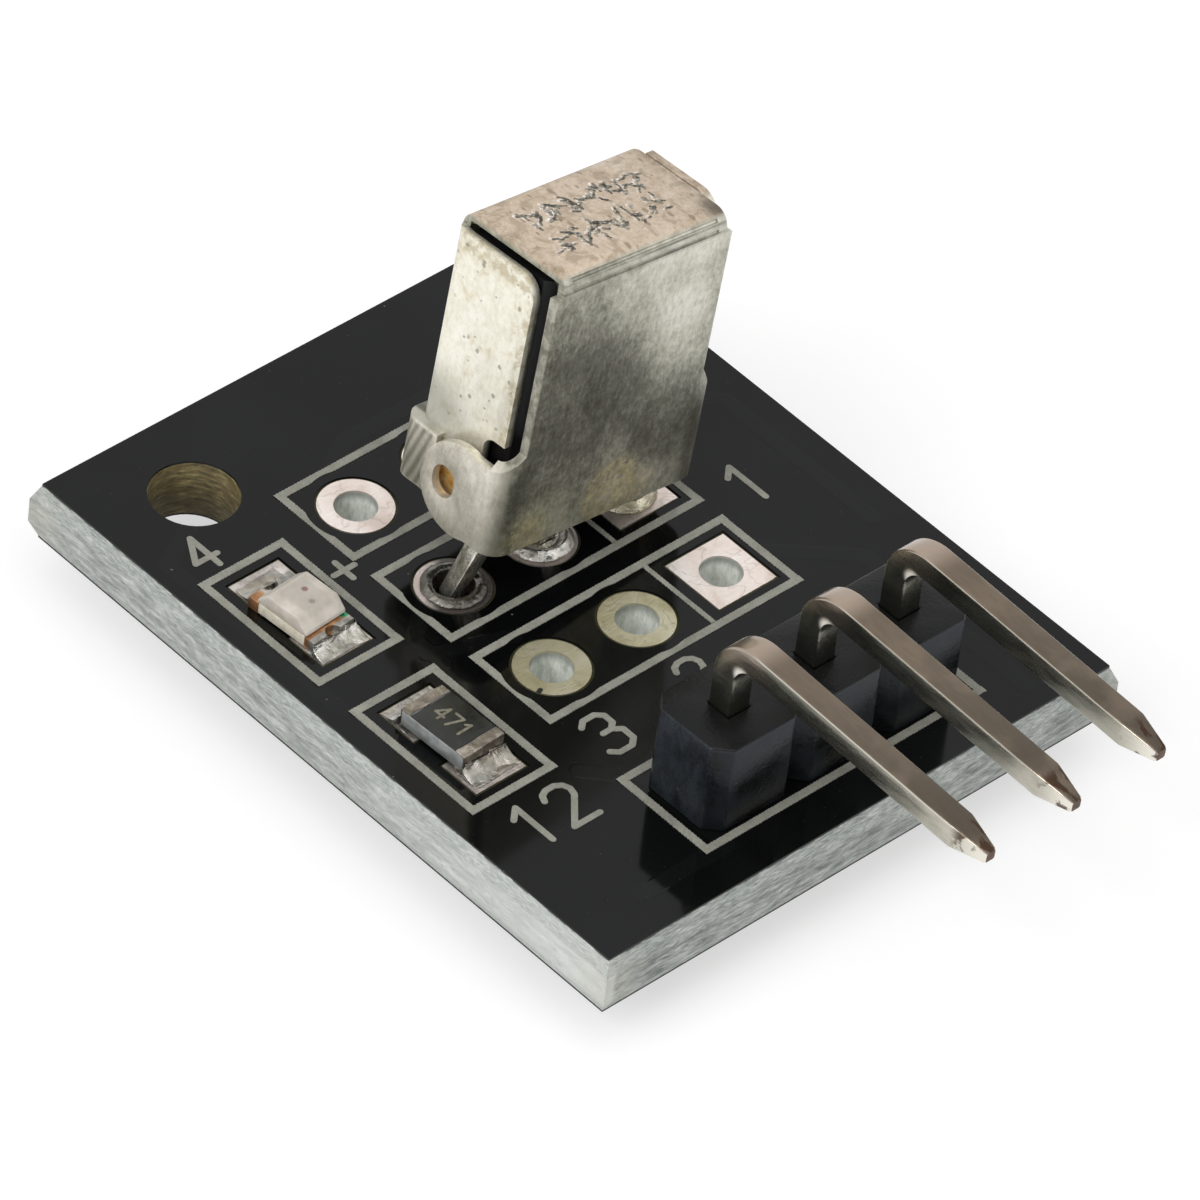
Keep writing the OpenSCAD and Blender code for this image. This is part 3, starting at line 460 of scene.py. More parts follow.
def plated_pads(tree, place):
    """Plated pads, pink, cream or tinned, with frosted walls inside their holes that carry painted light and
    shade.
    """
    x, y, z = tree.split(place)
    blush = tree.noise(place, 0.9, 5, 0.6, 0.4)
    crease = tree.noise(
        tree.vector(
            "ADD", place, tree.vector("SCALE", tree.noise(place, 0.8, 3, output="Color"), scale=1.2)),
        1.3, 2, 0.5)
    crease = between(tree, crease, 0.495, 0.505, 0.014)
    scratch = streaks(tree, place, (1, 3.2, 1), 5, 0.22)
    pink = tree.ramp(blush, [(0.3, "#D8C8BE"), (0.45, "#EDE0D8"), (0.65, "#F8F1EB")])
    cream = tree.ramp(blush, [(0.3, "#A39C7A"), (0.48, "#C7C1A0"), (0.7, "#E2DEC6")])
    creamy = tree.times(between(tree, y, -3.2, -0.6, 0.1), tree.fall(x, 1.4, 1.6))
    shade = tree.mix(creamy, pink, cream)
    shade = tree.tint(shade, "#A89C90", scratch, 0.14)
    shade = tree.tint(shade, "#85796F", crease, 0.22)
    stain = specks(tree, place, 3.0, 0.16, 0.22)
    shade = tree.tint(shade, "#8A7A68", stain, 0.4)
    chips = any_of(tree, [between(tree, y, 0.95, 4.3, 0.02), between(tree, y, -3.85, -0.6, 0.02)])
    chips = tree.times(chips, tree.fall(x, -4.6, -4.5))
    tinned = tree.ramp(
        tree.noise(place, 2.6, 5, 0.65), [(0.3, "#857F7A"), (0.5, "#B8B0AA"), (0.72, "#E8E1DB")])
    shade = tree.mix(chips, shade, tinned)
    # The pad round pin 3's hole is darker, except on its side towards the far left.
    from_pin_3 = tree.vector("SUBTRACT", flat(tree, place), (row_x(ROWS_X, 3), RECEIVER_ROW_Y, 0))
    darker_round_pin_3 = tree.times(tree.fall(tree.vector("LENGTH", from_pin_3), 1.1, 1.2), tree.fall(
        tree.vector("DOT_PRODUCT", from_pin_3, (-0.73, 0.67, 0)), 0.25, 0.6, 0.85))
    shade = tree.mix(darker_round_pin_3, shade, "#2B2721")
    covered = strokes(tree, flat(tree, place), NOTCHES, 0.06, 0.014)
    covered = tree.times(covered, tree.fade(z, 1.57, 1.58))
    shade = tree.mix(covered, shade, "#0B0C0B")
    dipped = tree.noise(tree.vector("MULTIPLY", place, (2.4, 2.4, 0.8)), 2.6, 5, 0.7)
    # The hole walls: frosted tin, painted near white and lighter towards the bottom as painted light, and
    # darker near the top as painted shade.
    frost_with_painted_light = tree.ramp(tree.plus(dipped, tree.fall(z, 0.3, 1.2, 0.12)), [
        (0.32, "#B9C0B6"), (0.5, "#E2E6DE"), (0.66, "#FBFCF8")])
    frost_with_painted_light = tree.mix(tree.fade(z, 1.25, 1.5, 0.0, 0.7), frost_with_painted_light, "#7C827A")
    wall = tree.times(tree.fall(z, 1.5, 1.57), tree.fade(z, 0.03, 0.08))
    shade = tree.mix(wall, shade, frost_with_painted_light)
    metal = tree.math("SUBTRACT", 0.8, tree.times(any_of(tree, [wall, covered]), 0.8))
    height = tree.plus(blush, tree.times(scratch, 0.3))
    height = tree.math("SUBTRACT", height, tree.times(crease, 0.15))
    return skin(tree, shade, tree.fade(blush, 0.3, 0.7, 0.45, 0.3), height, 0.03, 0.5, Metallic=metal)


def header_plastic(tree, place):
    """Black moulded plastic with a cut left end, and painted reflections on its side and front faces."""
    x, _, z = tree.split(place)
    normal = tree.facing()
    cloud = tree.noise(place, 0.9, 5, 0.6)
    side = tree.fall(normal[2], 0.2, 0.6)
    # Painted sheen: a bluish painted reflection on the side faces.
    painted_side_sheen = tree.times(side, tree.fade(cloud, 0.4, 0.58))
    shade = tree.ramp(cloud, [(0.3, "#080909"), (0.7, "#101112")])
    shade = tree.tint(shade, "#1A1E23", painted_side_sheen, 0.7)
    # Painted light: the front faces are painted lighter and bluer towards the top.
    front = tree.times(tree.fall(normal[1], -0.9, -0.6), tree.fade(z, 2.6, 3.9))
    shade = tree.tint(shade, "#262C33", front, 0.55)
    cut = tree.times(tree.fall(x, -3.27, -3.2), tree.fall(normal[0], -0.9, -0.6))
    torn = streaks(tree, place, (1, 1.2, 0.6), 1.6, 0.28)
    shade = tree.tint(shade, "#363C43", tree.times(cut, torn), 0.8)
    rim = tree.times(between(tree, z, 3.94, 4.03, 0.03), side)
    shade = tree.tint(shade, "#2F3439", rim, 0.4)
    dust = specks(tree, place, 3.3, 0.1, 0.3)
    shade = tree.tint(shade, "#6C6C68", dust, 0.35)
    height = tree.plus(tree.noise(place, 9, 4), tree.times(tree.times(cut, torn), 2))
    return skin(tree, shade, tree.fade(cloud, 0.3, 0.7, 0.22, 0.4), height, 0.02, 0.6)


def pin_metal(tree, place):
    """Square pins, brown on top, with painted highlights at the bends and along the edges, painted light on
    the sides towards the tips, a painted dark reflection low on the risers, and brown tips.
    """
    _, y, z = tree.split(place)
    normal = tree.facing()
    cloud = tree.noise(place, 0.7, 4, 0.5)
    fine = tree.noise(tree.vector("MULTIPLY", place, (3, 0.6, 3)), 3.0, 4, 0.55)
    far = tree.fade(y, -14.2, -8.0)
    top = tree.mix(far, "#5C544A", "#75695C")
    top = tree.mix(tree.fade(cloud, 0.42, 0.62, 0.0, 0.5), top, "#867869")
    # Painted light: the side faces are painted lighter towards the tip.
    side = tree.mix(far, "#C2BDB0", "#7D7D73")
    side = tree.mix(tree.fade(cloud, 0.4, 0.6, 0.0, 0.4), side, "#8D8D80")
    up = tree.fade(normal[2], 0.35, 0.8)
    shade = tree.mix(up, side, top)
    shade = tree.mix(tree.fade(fine, 0.4, 0.7, 0.0, 0.16), shade, "#4C4238")
    # Painted highlight over the top of the bend.
    turned = tree.times(tree.fade(z, 5.3, 5.75), tree.fade(y, -8.2, -7.4))
    shade = tree.tint(shade, "#C6B4A5", turned, 0.55)
    # Painted reflection: a near-white spot on the left side of the bend, where the metal is also made less
    # metallic so that it shows.
    inner = tree.times(tree.fall(normal[0], -0.8, -0.5), near(
        tree, tree.vector("MULTIPLY", place, (0, 1, 1)), (0, -7.28, 5.36), 0.12, 0.36))
    shade = tree.mix(inner, shade, "#FFF8EC")
    # Painted highlight along the edge between the top and the sides.
    edge = tree.times(between(tree, normal[2], 0.25, 0.6, 0.12), tree.fall(y, -7.8, -7.4))
    shade = tree.tint(shade, "#D3CDBF", edge, 0.7)
    # Painted light on the side facets near the tip.
    tip = tree.times(tree.fall(y, -14.5, -13.5), tree.fall(normal[2], 0.2, 0.5))
    shade = tree.tint(shade, "#EEE9DD", tip, 0.85)
    cut = tree.times(tree.fall(y, -14.57, -14.5), tree.fall(normal[1], -0.9, -0.7))
    shade = tree.mix(cut, shade, "#5B4330")
    bare = tree.times(tree.fall(y, -13.9, -13.6), tree.fade(
        tree.noise(tree.vector("MULTIPLY", place, (2.5, 0.8, 1)), 2.2, 3), 0.5, 0.58))
    shade = tree.tint(shade, "#453327", bare, 0.9)
    # Painted dark reflection of the board, low on the riser.
    foot = tree.fall(z, 4.4, 5.0)
    shade = tree.tint(shade, "#4B4A42", foot, 0.55)
    return skin(
        tree, shade, tree.fade(fine, 0.3, 0.7, 0.26, 0.18), tree.plus(fine, cloud), 0.01, 0.35,
        Metallic=tree.fade(inner, 0.0, 1.0, 0.95, 0.1))


def solder(tree, place):
    """Set solder, darker round one leg, with yellow resin beside another."""
    x, y, _ = tree.split(place)
    cloud = tree.noise(place, 1.8, 4, 0.55, 0.4)
    shade = tree.ramp(cloud, [(0.28, "#77746D"), (0.45, "#A19E97"), (0.6, "#C3C1BB"), (0.8, "#E6E4DF")])
    resin = tree.fade(tree.noise(place, 0.9, 3), 0.5, 0.66)
    shade = tree.tint(shade, "#7E6C4E", resin, 0.4)
    # Darker round the receiver's third leg.
    ring = tree.times(
        tree.fall(x, -1.5, -1.3), tree.times(between(tree, y, 0.2, 2.5, 0.05), tree.fade(x, -3.6, -3.4)))
    shade = tree.tint(shade, "#3A362E", ring, 0.72)
    yellow = tree.times(tree.fade(x, 1.3, 1.6), between(tree, y, 0.2, 2.5, 0.05))
    shade = tree.tint(shade, "#A39C74", yellow, 0.5)
    return skin(
        tree, shade, tree.fade(cloud, 0.3, 0.7, 0.38, 0.2), tree.noise(place, 3.6, 4, 0.55, 0.8), 0.08, 0.7)


def tinned_sheet(tree, place):
    """The receiver's can: rear plate, side flaps, ears, top plate and skirt each in a tone of its own, the
    rear plate darker as painted shade and the flaps lighter as painted light, with further painted
    highlights, reflections and shade.
    """
    local = tree.group("receiver_frame", {"Place": place})["Local"]
    x, y, z = tree.split(local)
    out = tree.math("ABSOLUTE", x)  # distance from the middle, towards a flap or an ear
    top = tree.fade(z, 6.84, 6.95)
    flap = tree.times(tree.fade(out, 2.58, 2.7), tree.fade(y, -1.3, -1.2))
    ear = tree.fade(out, 2.92, 3.02)
    cloud = tree.noise(local, 1.0, 6, 0.62, 0.2)
    mottle = tree.noise(local, 3.2, 5, 0.66, 0.3)
    brushed = streaks(tree, local, (2.4, 2.4, 1.1), 3.4, 0.22)
    grain = tree.noise(local, 11, 4, 0.7)
    value = tree.plus(tree.times(cloud, 0.38), tree.times(mottle, 0.24))
    value = tree.plus(value, tree.times(brushed, 0.12))
    value = tree.plus(value, tree.times(grain, 0.26))

    def patch(spot, inner, outer, amount):
        """An amount round a spot on the rear plate, given as across and up."""
        wide = tree.vector("MULTIPLY", local, (1, 0, 1))
        return near(tree, wide, (spot[0], 0, spot[1]), inner, outer, amount)

    # Painted shade and reflection: the rear plate is given a darker tone than the flaps, painted lighter
    # near its top and bottom and in some patches, and darker in others.
    painted_reflection = tree.plus(tree.fade(z, 5.6, 6.7, 0.08, 0.17), tree.fall(z, 0.2, 1.3, 0.1))
    for spot, inner, outer, amount in (
        ((1.9, 6.0), 0.3, 2.2, 0.18), ((1.6, 4.3), 0.2, 1.7, 0.22), ((0.1, 5.9), 0.3, 1.6, 0.13),
        ((1.9, 1.5), 0.4, 2.0, -0.04), ((-1.6, 3.4), 0.6, 2.4, -0.06), ((-0.1, 3.4), 0.4, 1.6, -0.05),
        ((-1.3, 1.4), 0.4, 1.8, -0.05),
    ):
        painted_reflection = tree.plus(painted_reflection, patch(spot, inner, outer, amount))
    rear = tree.ramp(tree.plus(value, painted_reflection), [
        (0.3, "#3F3F37"), (0.42, "#5C5B50"), (0.54, "#7E7D70"), (0.66, "#A9A899"), (0.78, "#CBC9BA"),
        (0.92, "#E6E4D8")])
    gold = tree.times(tree.fade(grain, 0.38, 0.56), any_of(tree, [
        patch((0.35, 0.35), 0.7, 1.05, 0.8), patch((-2.2, 0.1), 0.3, 0.9, 0.75),
        patch((1.2, 0.2), 0.2, 0.7, 0.55)]))
    # Painted shade low on the rear plate towards its edges, where it meets the ears.
    painted_fold_shade = tree.times(tree.fade(out, 2.35, 2.7), tree.fall(z, 1.7, 2.2))
    rear = tree.tint(rear, "#403F34", painted_fold_shade, 0.6)
    rear = tree.mix(gold, rear, tree.ramp(mottle, [(0.4, "#A0946A"), (0.6, "#CFC596")]))
    # Painted highlight: a bright line along the rear plate's edges by the slots.
    rim = tree.times(between(tree, out, 2.67, 2.8, 0.03), tree.fade(z, 2.2, 2.5))
    rim = tree.times(rim, tree.fade(mottle, 0.35, 0.6, 0.4, 1.0))
    rear = tree.tint(rear, "#DAD6C6", rim, 0.4)
    # Painted shade on the rear plate's cut edge faces that point left.
    facing = tree.facing()
    painted_shade_on_cut_edge = tree.times(tree.fall(facing[0], -0.9, -0.6), tree.fall(y, -1.3, -1.2))
    rear = tree.tint(rear, "#5F5E52", painted_shade_on_cut_edge, tree.fade(mottle, 0.4, 0.6, 0.65, 0.3))
    # Painted light: the flaps are given a lighter cream tone than the rear plate.
    side = tree.ramp(value, [(0.3, "#C9C0A4"), (0.42, "#E4DFCD"), (0.54, "#F1EEE0"), (0.72, "#FAF8F0")])
    stain = tree.fade(tree.noise(local, 1.7, 5, 0.6, 0.6), 0.56, 0.68)
    side = tree.tint(side, "#C5B184", stain, 0.4)
    low_corner = near(tree, tree.vector("MULTIPLY", local, (0, 1, 1)), (0, 1.3, 2.1), 0.3, 1.6, 0.7)
    side = tree.mix(low_corner, side, "#8F8E82")
    # Tan stain along the flap's edge by the slot and in a band near its top, with painted shade along the
    # slot edge.
    edge_stain_and_shade = any_of(tree, [between(tree, y, -1.1, -0.86, 0.1), between(tree, z, 6.3, 6.8, 0.12)])
    edge_stain_and_shade = tree.times(edge_stain_and_shade, tree.fade(mottle, 0.4, 0.6))
    side = tree.tint(side, "#A8986C", edge_stain_and_shade, 0.6)
    spots = specks(tree, local, 3.2, 0.24, 0.5)
    side = tree.tint(side, "#7C7662", spots, 0.65)
    # The orange-brown on the flap behind the ear's slot, its tone raised far above the sheet's as painted
    # light.
    behind_slot_painted_light = near(tree, tree.vector("MULTIPLY", local, (0, 1, 1)), (0, 0.2, 0.9), 0.5, 0.7)
    side = tree.mix(
        behind_slot_painted_light, side, tree.ramp(mottle, [(0.35, "#B08342"), (0.5, "#EEB964"), (0.65, "#FFE0A6")]))
    ears = tree.ramp(value, [(0.3, "#9E998B"), (0.44, "#C4BFB0"), (0.58, "#DCD8CB"), (0.75, "#F1EEE4")])
    ears = tree.mix(tree.fall(y, -1.62, -1.1, 0.8), ears, "#5A5748")
    tops = tree.ramp(value, [(0.3, "#9F8C75"), (0.43, "#C2B09A"), (0.56, "#D3C3B0"), (0.72, "#E6DACB")])
    rust = specks(tree, tree.vector("MULTIPLY", local, (1.9, 1, 1)), 2.6, 0.42, 0.62)
    tops = tree.tint(tops, "#7C6852", rust, 0.6)
    tops = tree.mix(tree.fade(tree.noise(local, 1.9, 4, 0.65, 0.8), 0.5, 0.62, 0.0, 0.5), tops, "#96836C")
    # Browner towards the top plate's edges, with painted shade along them.
    edge_brown_and_shade = any_of(tree, [tree.fade(out, 2.1, 2.5), tree.fade(y, 1.2, 1.5)])
    edge_brown_and_shade = tree.times(edge_brown_and_shade, tree.fade(mottle, 0.42, 0.6))
    tops = tree.tint(tops, "#8A7762", edge_brown_and_shade, 0.55)
    # Painted shadow in the top plate's rear right corner.
    painted_shadow_corner = near(tree, local, (2.45, -1.2, SHIELD_TOP), 0.1, 0.6, 0.7)
    tops = tree.mix(painted_shadow_corner, tops, "#3D3A34")
    shade = tree.mix(flap, rear, side)
    shade = tree.mix(ear, shade, ears)
    shade = tree.mix(top, shade, tops)
    back = tree.fall(y, -1.5, -1.3)
    fold = tree.times(between(tree, z, 6.52, 6.9, 0.05), back)
    shade = tree.tint(shade, tree.ramp(mottle, [(0.35, "#8C8B7F"), (0.62, "#BDBBAD")]), fold, 0.6)
    grooves = tree.times(
        any_of(tree, [between(tree, z, 6.56, 6.59, 0.02), between(tree, z, 6.76, 6.79, 0.02)]), back)
    shade = tree.tint(shade, "#57564C", grooves, tree.fade(cloud, 0.4, 0.6, 0.3, 0.75))
    # Painted shade: the inner faces of the can under the top plate are painted near black.
    inside = tree.times(tree.fall(out, 2.5, 2.58), tree.times(
        tree.fall(z, 6.74, 6.79), between(tree, y, -1.36, 1.36, 0.03)))
    shade = tree.mix(inside, shade, "#24221D")
    skirt = tree.times(between(tree, z, 0.2, 1.55, 0.1), tree.fade(y, 0.7, 0.9))
    ribs = tree.add("ShaderNodeTexWave", {
        "Vector": tree.vector("MULTIPLY", local, (1, 1, 0.35)), "Scale": 2.6, "Distortion": 1.5, "Detail": 2,
    }, bands_direction="DIAGONAL").outputs["Fac"]
    ribs = tree.times(ribs, skirt)
    shade = tree.tint(shade, "#8A8674", skirt, 0.4)
    shade = tree.tint(shade, "#4F4B3A", ribs, 0.6)
    height = tree.plus(value, tree.times(ribs, 0.8))
    rough = tree.plus(tree.fade(value, 0.3, 0.8, 0.44, 0.32), tree.times(top, 0.1))
    return skin(tree, shade, rough, height, 0.05, 0.4)


def receiver_epoxy(tree, place):
    """The moulded body inside the can."""
    cloud = tree.noise(place, 1.6, 4, 0.6)
    shade = tree.ramp(cloud, [(0.3, "#0C0B0C"), (0.7, "#1A181B")])
    return skin(tree, shade, tree.fade(cloud, 0.3, 0.7, 0.35, 0.5), tree.noise(place, 12, 3), 0.01, 0.5)


def leg_metal(tree, place):
    """Drawn legs, streaked, with painted highlights in the bright streaks."""
    drawn = streaks(tree, place, (2.2, 2.2, 0.7), 2.0, 0.16)
    # The bright end of the ramp is painted highlight.
    shade = tree.ramp(drawn, [(0.0, "#8C877A"), (0.45, "#C4BFB2"), (1.0, "#F6F3EA")])
    return skin(tree, shade, tree.fade(drawn, 0.0, 1.0, 0.32, 0.2), drawn, 0.03, 0.3)


led_base_board = clouded(
    (4, 5, 0.65), [(0.3, "#BDB59C"), (0.5, "#D8D2C0"), (0.7, "#EAE6D8")], (0.4, 0.6), 0.01, 0.5)


def led_epoxy(tree, place):
    """A milky lens with the chip and its wire showing through."""
    local = tree.group("led_frame", {"Place": place})["Local"]
    cloud = tree.noise(local, 1.8, 4, 0.6)
    shade = tree.ramp(cloud, [(0.3, "#B5ACA0"), (0.5, "#C6BEB3"), (0.7, "#D6CFC6")])
    grain = tree.noise(local, 18, 3, 0.6)
    x, y, _ = tree.split(local)
    inside = tree.times(between(tree, x, -0.3, 0.35, 0.1), between(tree, y, -0.5, 0.35, 0.1))
    shade = tree.tint(shade, "#A9A49C", inside, 0.45)
    dot = near(tree, flat(tree, local), (0.16, 0.1, 0), 0.05, 0.1)
    shade = tree.tint(shade, "#6E3A34", dot, 0.75)
    wire = near(tree, flat(tree, local), (0.0, -0.28, 0), 0.04, 0.1)
    shade = tree.tint(shade, "#6F6A60", wire, 0.6)
    return skin(tree, shade, tree.fade(grain, 0.3, 0.7, 0.3, 0.45), grain, 0.008, 0.5)


def led_metal(tree, place):
    """The light's terminals, with copper strips and a green mark."""
    local = tree.group("led_frame", {"Place": place})["Local"]
    x, y, _ = tree.split(local)
    cloud = tree.noise(place, 3.5, 5, 0.6)
    shade = tree.ramp(cloud, [(0.3, "#6B6963"), (0.5, "#97958E"), (0.72, "#CFCDC6")])
    copper = tree.ramp(cloud, [(0.3, "#7E5838"), (0.5, "#A87C56"), (0.72, "#CBA682")])
    strip = any_of(tree, [between(tree, y, -0.83, -0.6, 0.03), tree.times(
        tree.fade(y, 0.6, 0.7), tree.fall(x, -0.35, -0.25))])
    shade = tree.mix(strip, shade, copper)
    green = near(tree, flat(tree, local), (0.55, -0.72, 0), 0.1, 0.16)
    shade = tree.mix(green, shade, "#2B8F62")
    return skin(tree, shade, tree.fade(cloud, 0.3, 0.7, 0.4, 0.25), cloud, 0.02, 0.5)


def resistor_ceramic(tree, place):
    """Grey ceramic, darker near its foot."""
    local = tree.group("resistor_frame", {"Place": place})["Local"]
    _, _, z = tree.split(local)
    cloud = tree.noise(place, 3, 5, 0.6)
    shade = tree.ramp(cloud, [(0.3, "#707372"), (0.5, "#888B8A"), (0.7, "#A2A5A4")])
    shade = tree.mix(tree.fall(z, 0.05, 0.3, 0.6), shade, "#4A4C4F")
    return skin(tree, shade, tree.fade(cloud, 0.3, 0.7, 0.45, 0.6), tree.noise(place, 14, 3), 0.01, 0.6)


def resistor_glass(tree, place):
    """A dark glass coat with a few chips."""
    cloud = tree.noise(place, 2.6, 5, 0.6)
    shade = tree.ramp(cloud, [(0.3, "#0E0F0B"), (0.5, "#161712"), (0.7, "#22231D")])
    chips = specks(tree, place, 7, 0.14, 0.16)
    shade = tree.tint(shade, "#5A5A50", chips, 0.35)
    return skin(tree, shade, tree.fade(cloud, 0.3, 0.7, 0.25, 0.4), tree.noise(place, 8, 4), 0.015, 0.6)


def cap_metal(tree, place):
    """Dull end caps with painted glints as bright specks."""
    cloud = tree.noise(place, 2.6, 5, 0.65, 0.5)
    shade = tree.ramp(cloud, [(0.3, "#5F574D"), (0.5, "#8F867B"), (0.7, "#C3BAB0")])
    # Painted glints: bright specks on the caps.
    painted_glint = specks(tree, place, 4.5, 0.2, 0.3)
    shade = tree.tint(shade, "#DCD4CB", painted_glint, 0.5)
    return skin(tree, shade, tree.fade(cloud, 0.3, 0.7, 0.4, 0.24), cloud, 0.06, 0.7)


# The stamped strokes: dark as painted shade in their grooves, with burrs painted bright as highlights.
painted_groove_shade = clouded(
    (4.5, 4, 0.7), [(0.36, "#4A473F"), (0.5, "#79756A"), (0.62, "#B4AEA1")], (0.5, 0.3), 0.04, 0.7)
painted_burr_highlight = clouded(
    (5.5, 4, 0.7), [(0.36, "#B9A692"), (0.5, "#DCCFC0"), (0.64, "#F4EFE7")], (0.4, 0.25), 0.03, 0.6)
code_ink = clouded((9, 4, 0.6), [(0.3, "#5E5B4E"), (0.7, "#8A8675")], (0.5, 0.65), 0.006, 0.5)


MATERIALS = {
    "fibre_core": material("glass fibre core", fibre_core, specular_ior_level=0.35),
    "black_mask": material("black solder mask", black_mask, specular_ior_level=0.2),
    "grey_ink": material("printed ink", grey_ink, specular_ior_level=0.3),
    "plated_pads": material("plated pads", plated_pads),
    "header_plastic": material("header plastic", header_plastic, specular_ior_level=0.22),
    "pin_metal": material("pin metal", pin_metal),
    "solder": material("solder", solder, metallic=0.9),
    "tinned_sheet": material("tinned sheet", tinned_sheet, metallic=0.55),
    "receiver_epoxy": material("receiver body", receiver_epoxy, specular_ior_level=0.3),
    "leg_metal": material("leg metal", leg_metal, metallic=0.9),
    "led_base_board": material("light base", led_base_board),
    "led_epoxy": material("light lens", led_epoxy),
    "led_metal": material("light terminals", led_metal, metallic=0.7),
    "resistor_ceramic": material("resistor ceramic", resistor_ceramic),
    "resistor_glass": material("resistor coat", resistor_glass),
    "cap_metal": material("resistor caps", cap_metal, metallic=0.8),
}
CODE_INK = material("code ink", code_ink)
PAINTED_GROOVE_SHADE = material("painted groove shade", painted_groove_shade, metallic=0.5)
PAINTED_BURR_HIGHLIGHT = material("painted burr highlight", painted_burr_highlight, metallic=0.5)


# Pieces

def piece(name, points, faces, slot, smooth=True, paint=None):
    """A mesh piece from points in millimetres, with its finish and its place on the part."""
    mesh = bpy.data.meshes.new(name)
    mesh.from_pydata([Vector(p) * MM for p in points], [], faces)
    mesh.validate()
    mesh.update()
    made = placed(name, mesh)
    mesh.materials.append(paint or MATERIALS[slot])
    for polygon in mesh.polygons:
        polygon.use_smooth = smooth
    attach(made, "root")
    return made


def coat(mesh, slot):
    """Gives a mesh the finish of its slot and no other."""
    mesh.materials.clear()
    mesh.materials.append(MATERIALS[slot])


def softened(node, slot, width, segments=2, sharp=30):
    """A copy of a solid with its edges broken, which stands for it."""
    mesh = nodes[node].data.copy()
    solid = bmesh.new()
    solid.from_mesh(mesh)
    bmesh.ops.remove_doubles(solid, verts=solid.verts, dist=1e-7)
    bmesh.ops.dissolve_limit(solid, angle_limit=math.radians(1), verts=solid.verts, edges=solid.edges)
    edges = [e for e in solid.edges if len(e.link_faces) == 2 and e.calc_face_angle(0) > math.radians(sharp)]
    bmesh.ops.bevel(
        solid, geom=edges, offset=width * MM, segments=segments, profile=0.5, affect="EDGES",
        clamp_overlap=True)
    bmesh.ops.triangulate(solid, faces=[f for f in solid.faces if len(f.verts) > 4])
    solid.to_mesh(mesh)
    solid.free()
    coat(mesh, slot)
    made = placed(node + "_finished", mesh)
    mesh.shade_smooth()
    mesh.set_sharp_from_angle(angle=math.radians(35))
    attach(made, "root")
    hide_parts(node)


def melted(node, slot, voxel, waves, seed):
    """A copy of a solid with the soft uneven skin of set solder, which stands for it."""
    mesh = nodes[node].data.copy()
    made = placed(node + "_flow", mesh)
    remesh = made.modifiers.new("remesh", "REMESH")
    remesh.mode = "VOXEL"
    remesh.voxel_size = voxel * MM
    smooth = made.modifiers.new("smooth", "SMOOTH")
    smooth.factor = 0.6
    smooth.iterations = 6
    depsgraph = bpy.context.evaluated_depsgraph_get()
    flowed = bpy.data.meshes.new_from_object(made.evaluated_get(depsgraph))
    made.modifiers.clear()
    made.data = flowed
    shift = Vector((seed * 3.1, seed * 1.7, seed * 2.3))
    for vertex, normal in zip(flowed.vertices, [v.normal.copy() for v in flowed.vertices]):
        wave = field.noise(vertex.co / MM * 2.2 + shift) + 0.5 * field.noise(vertex.co / MM * 5.1 - shift)
        vertex.co += normal * (wave * waves - 0.4 * waves) * MM
    coat(flowed, slot)
    for polygon in flowed.polygons:
        polygon.use_smooth = True
    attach(made, "root")
    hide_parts(node)


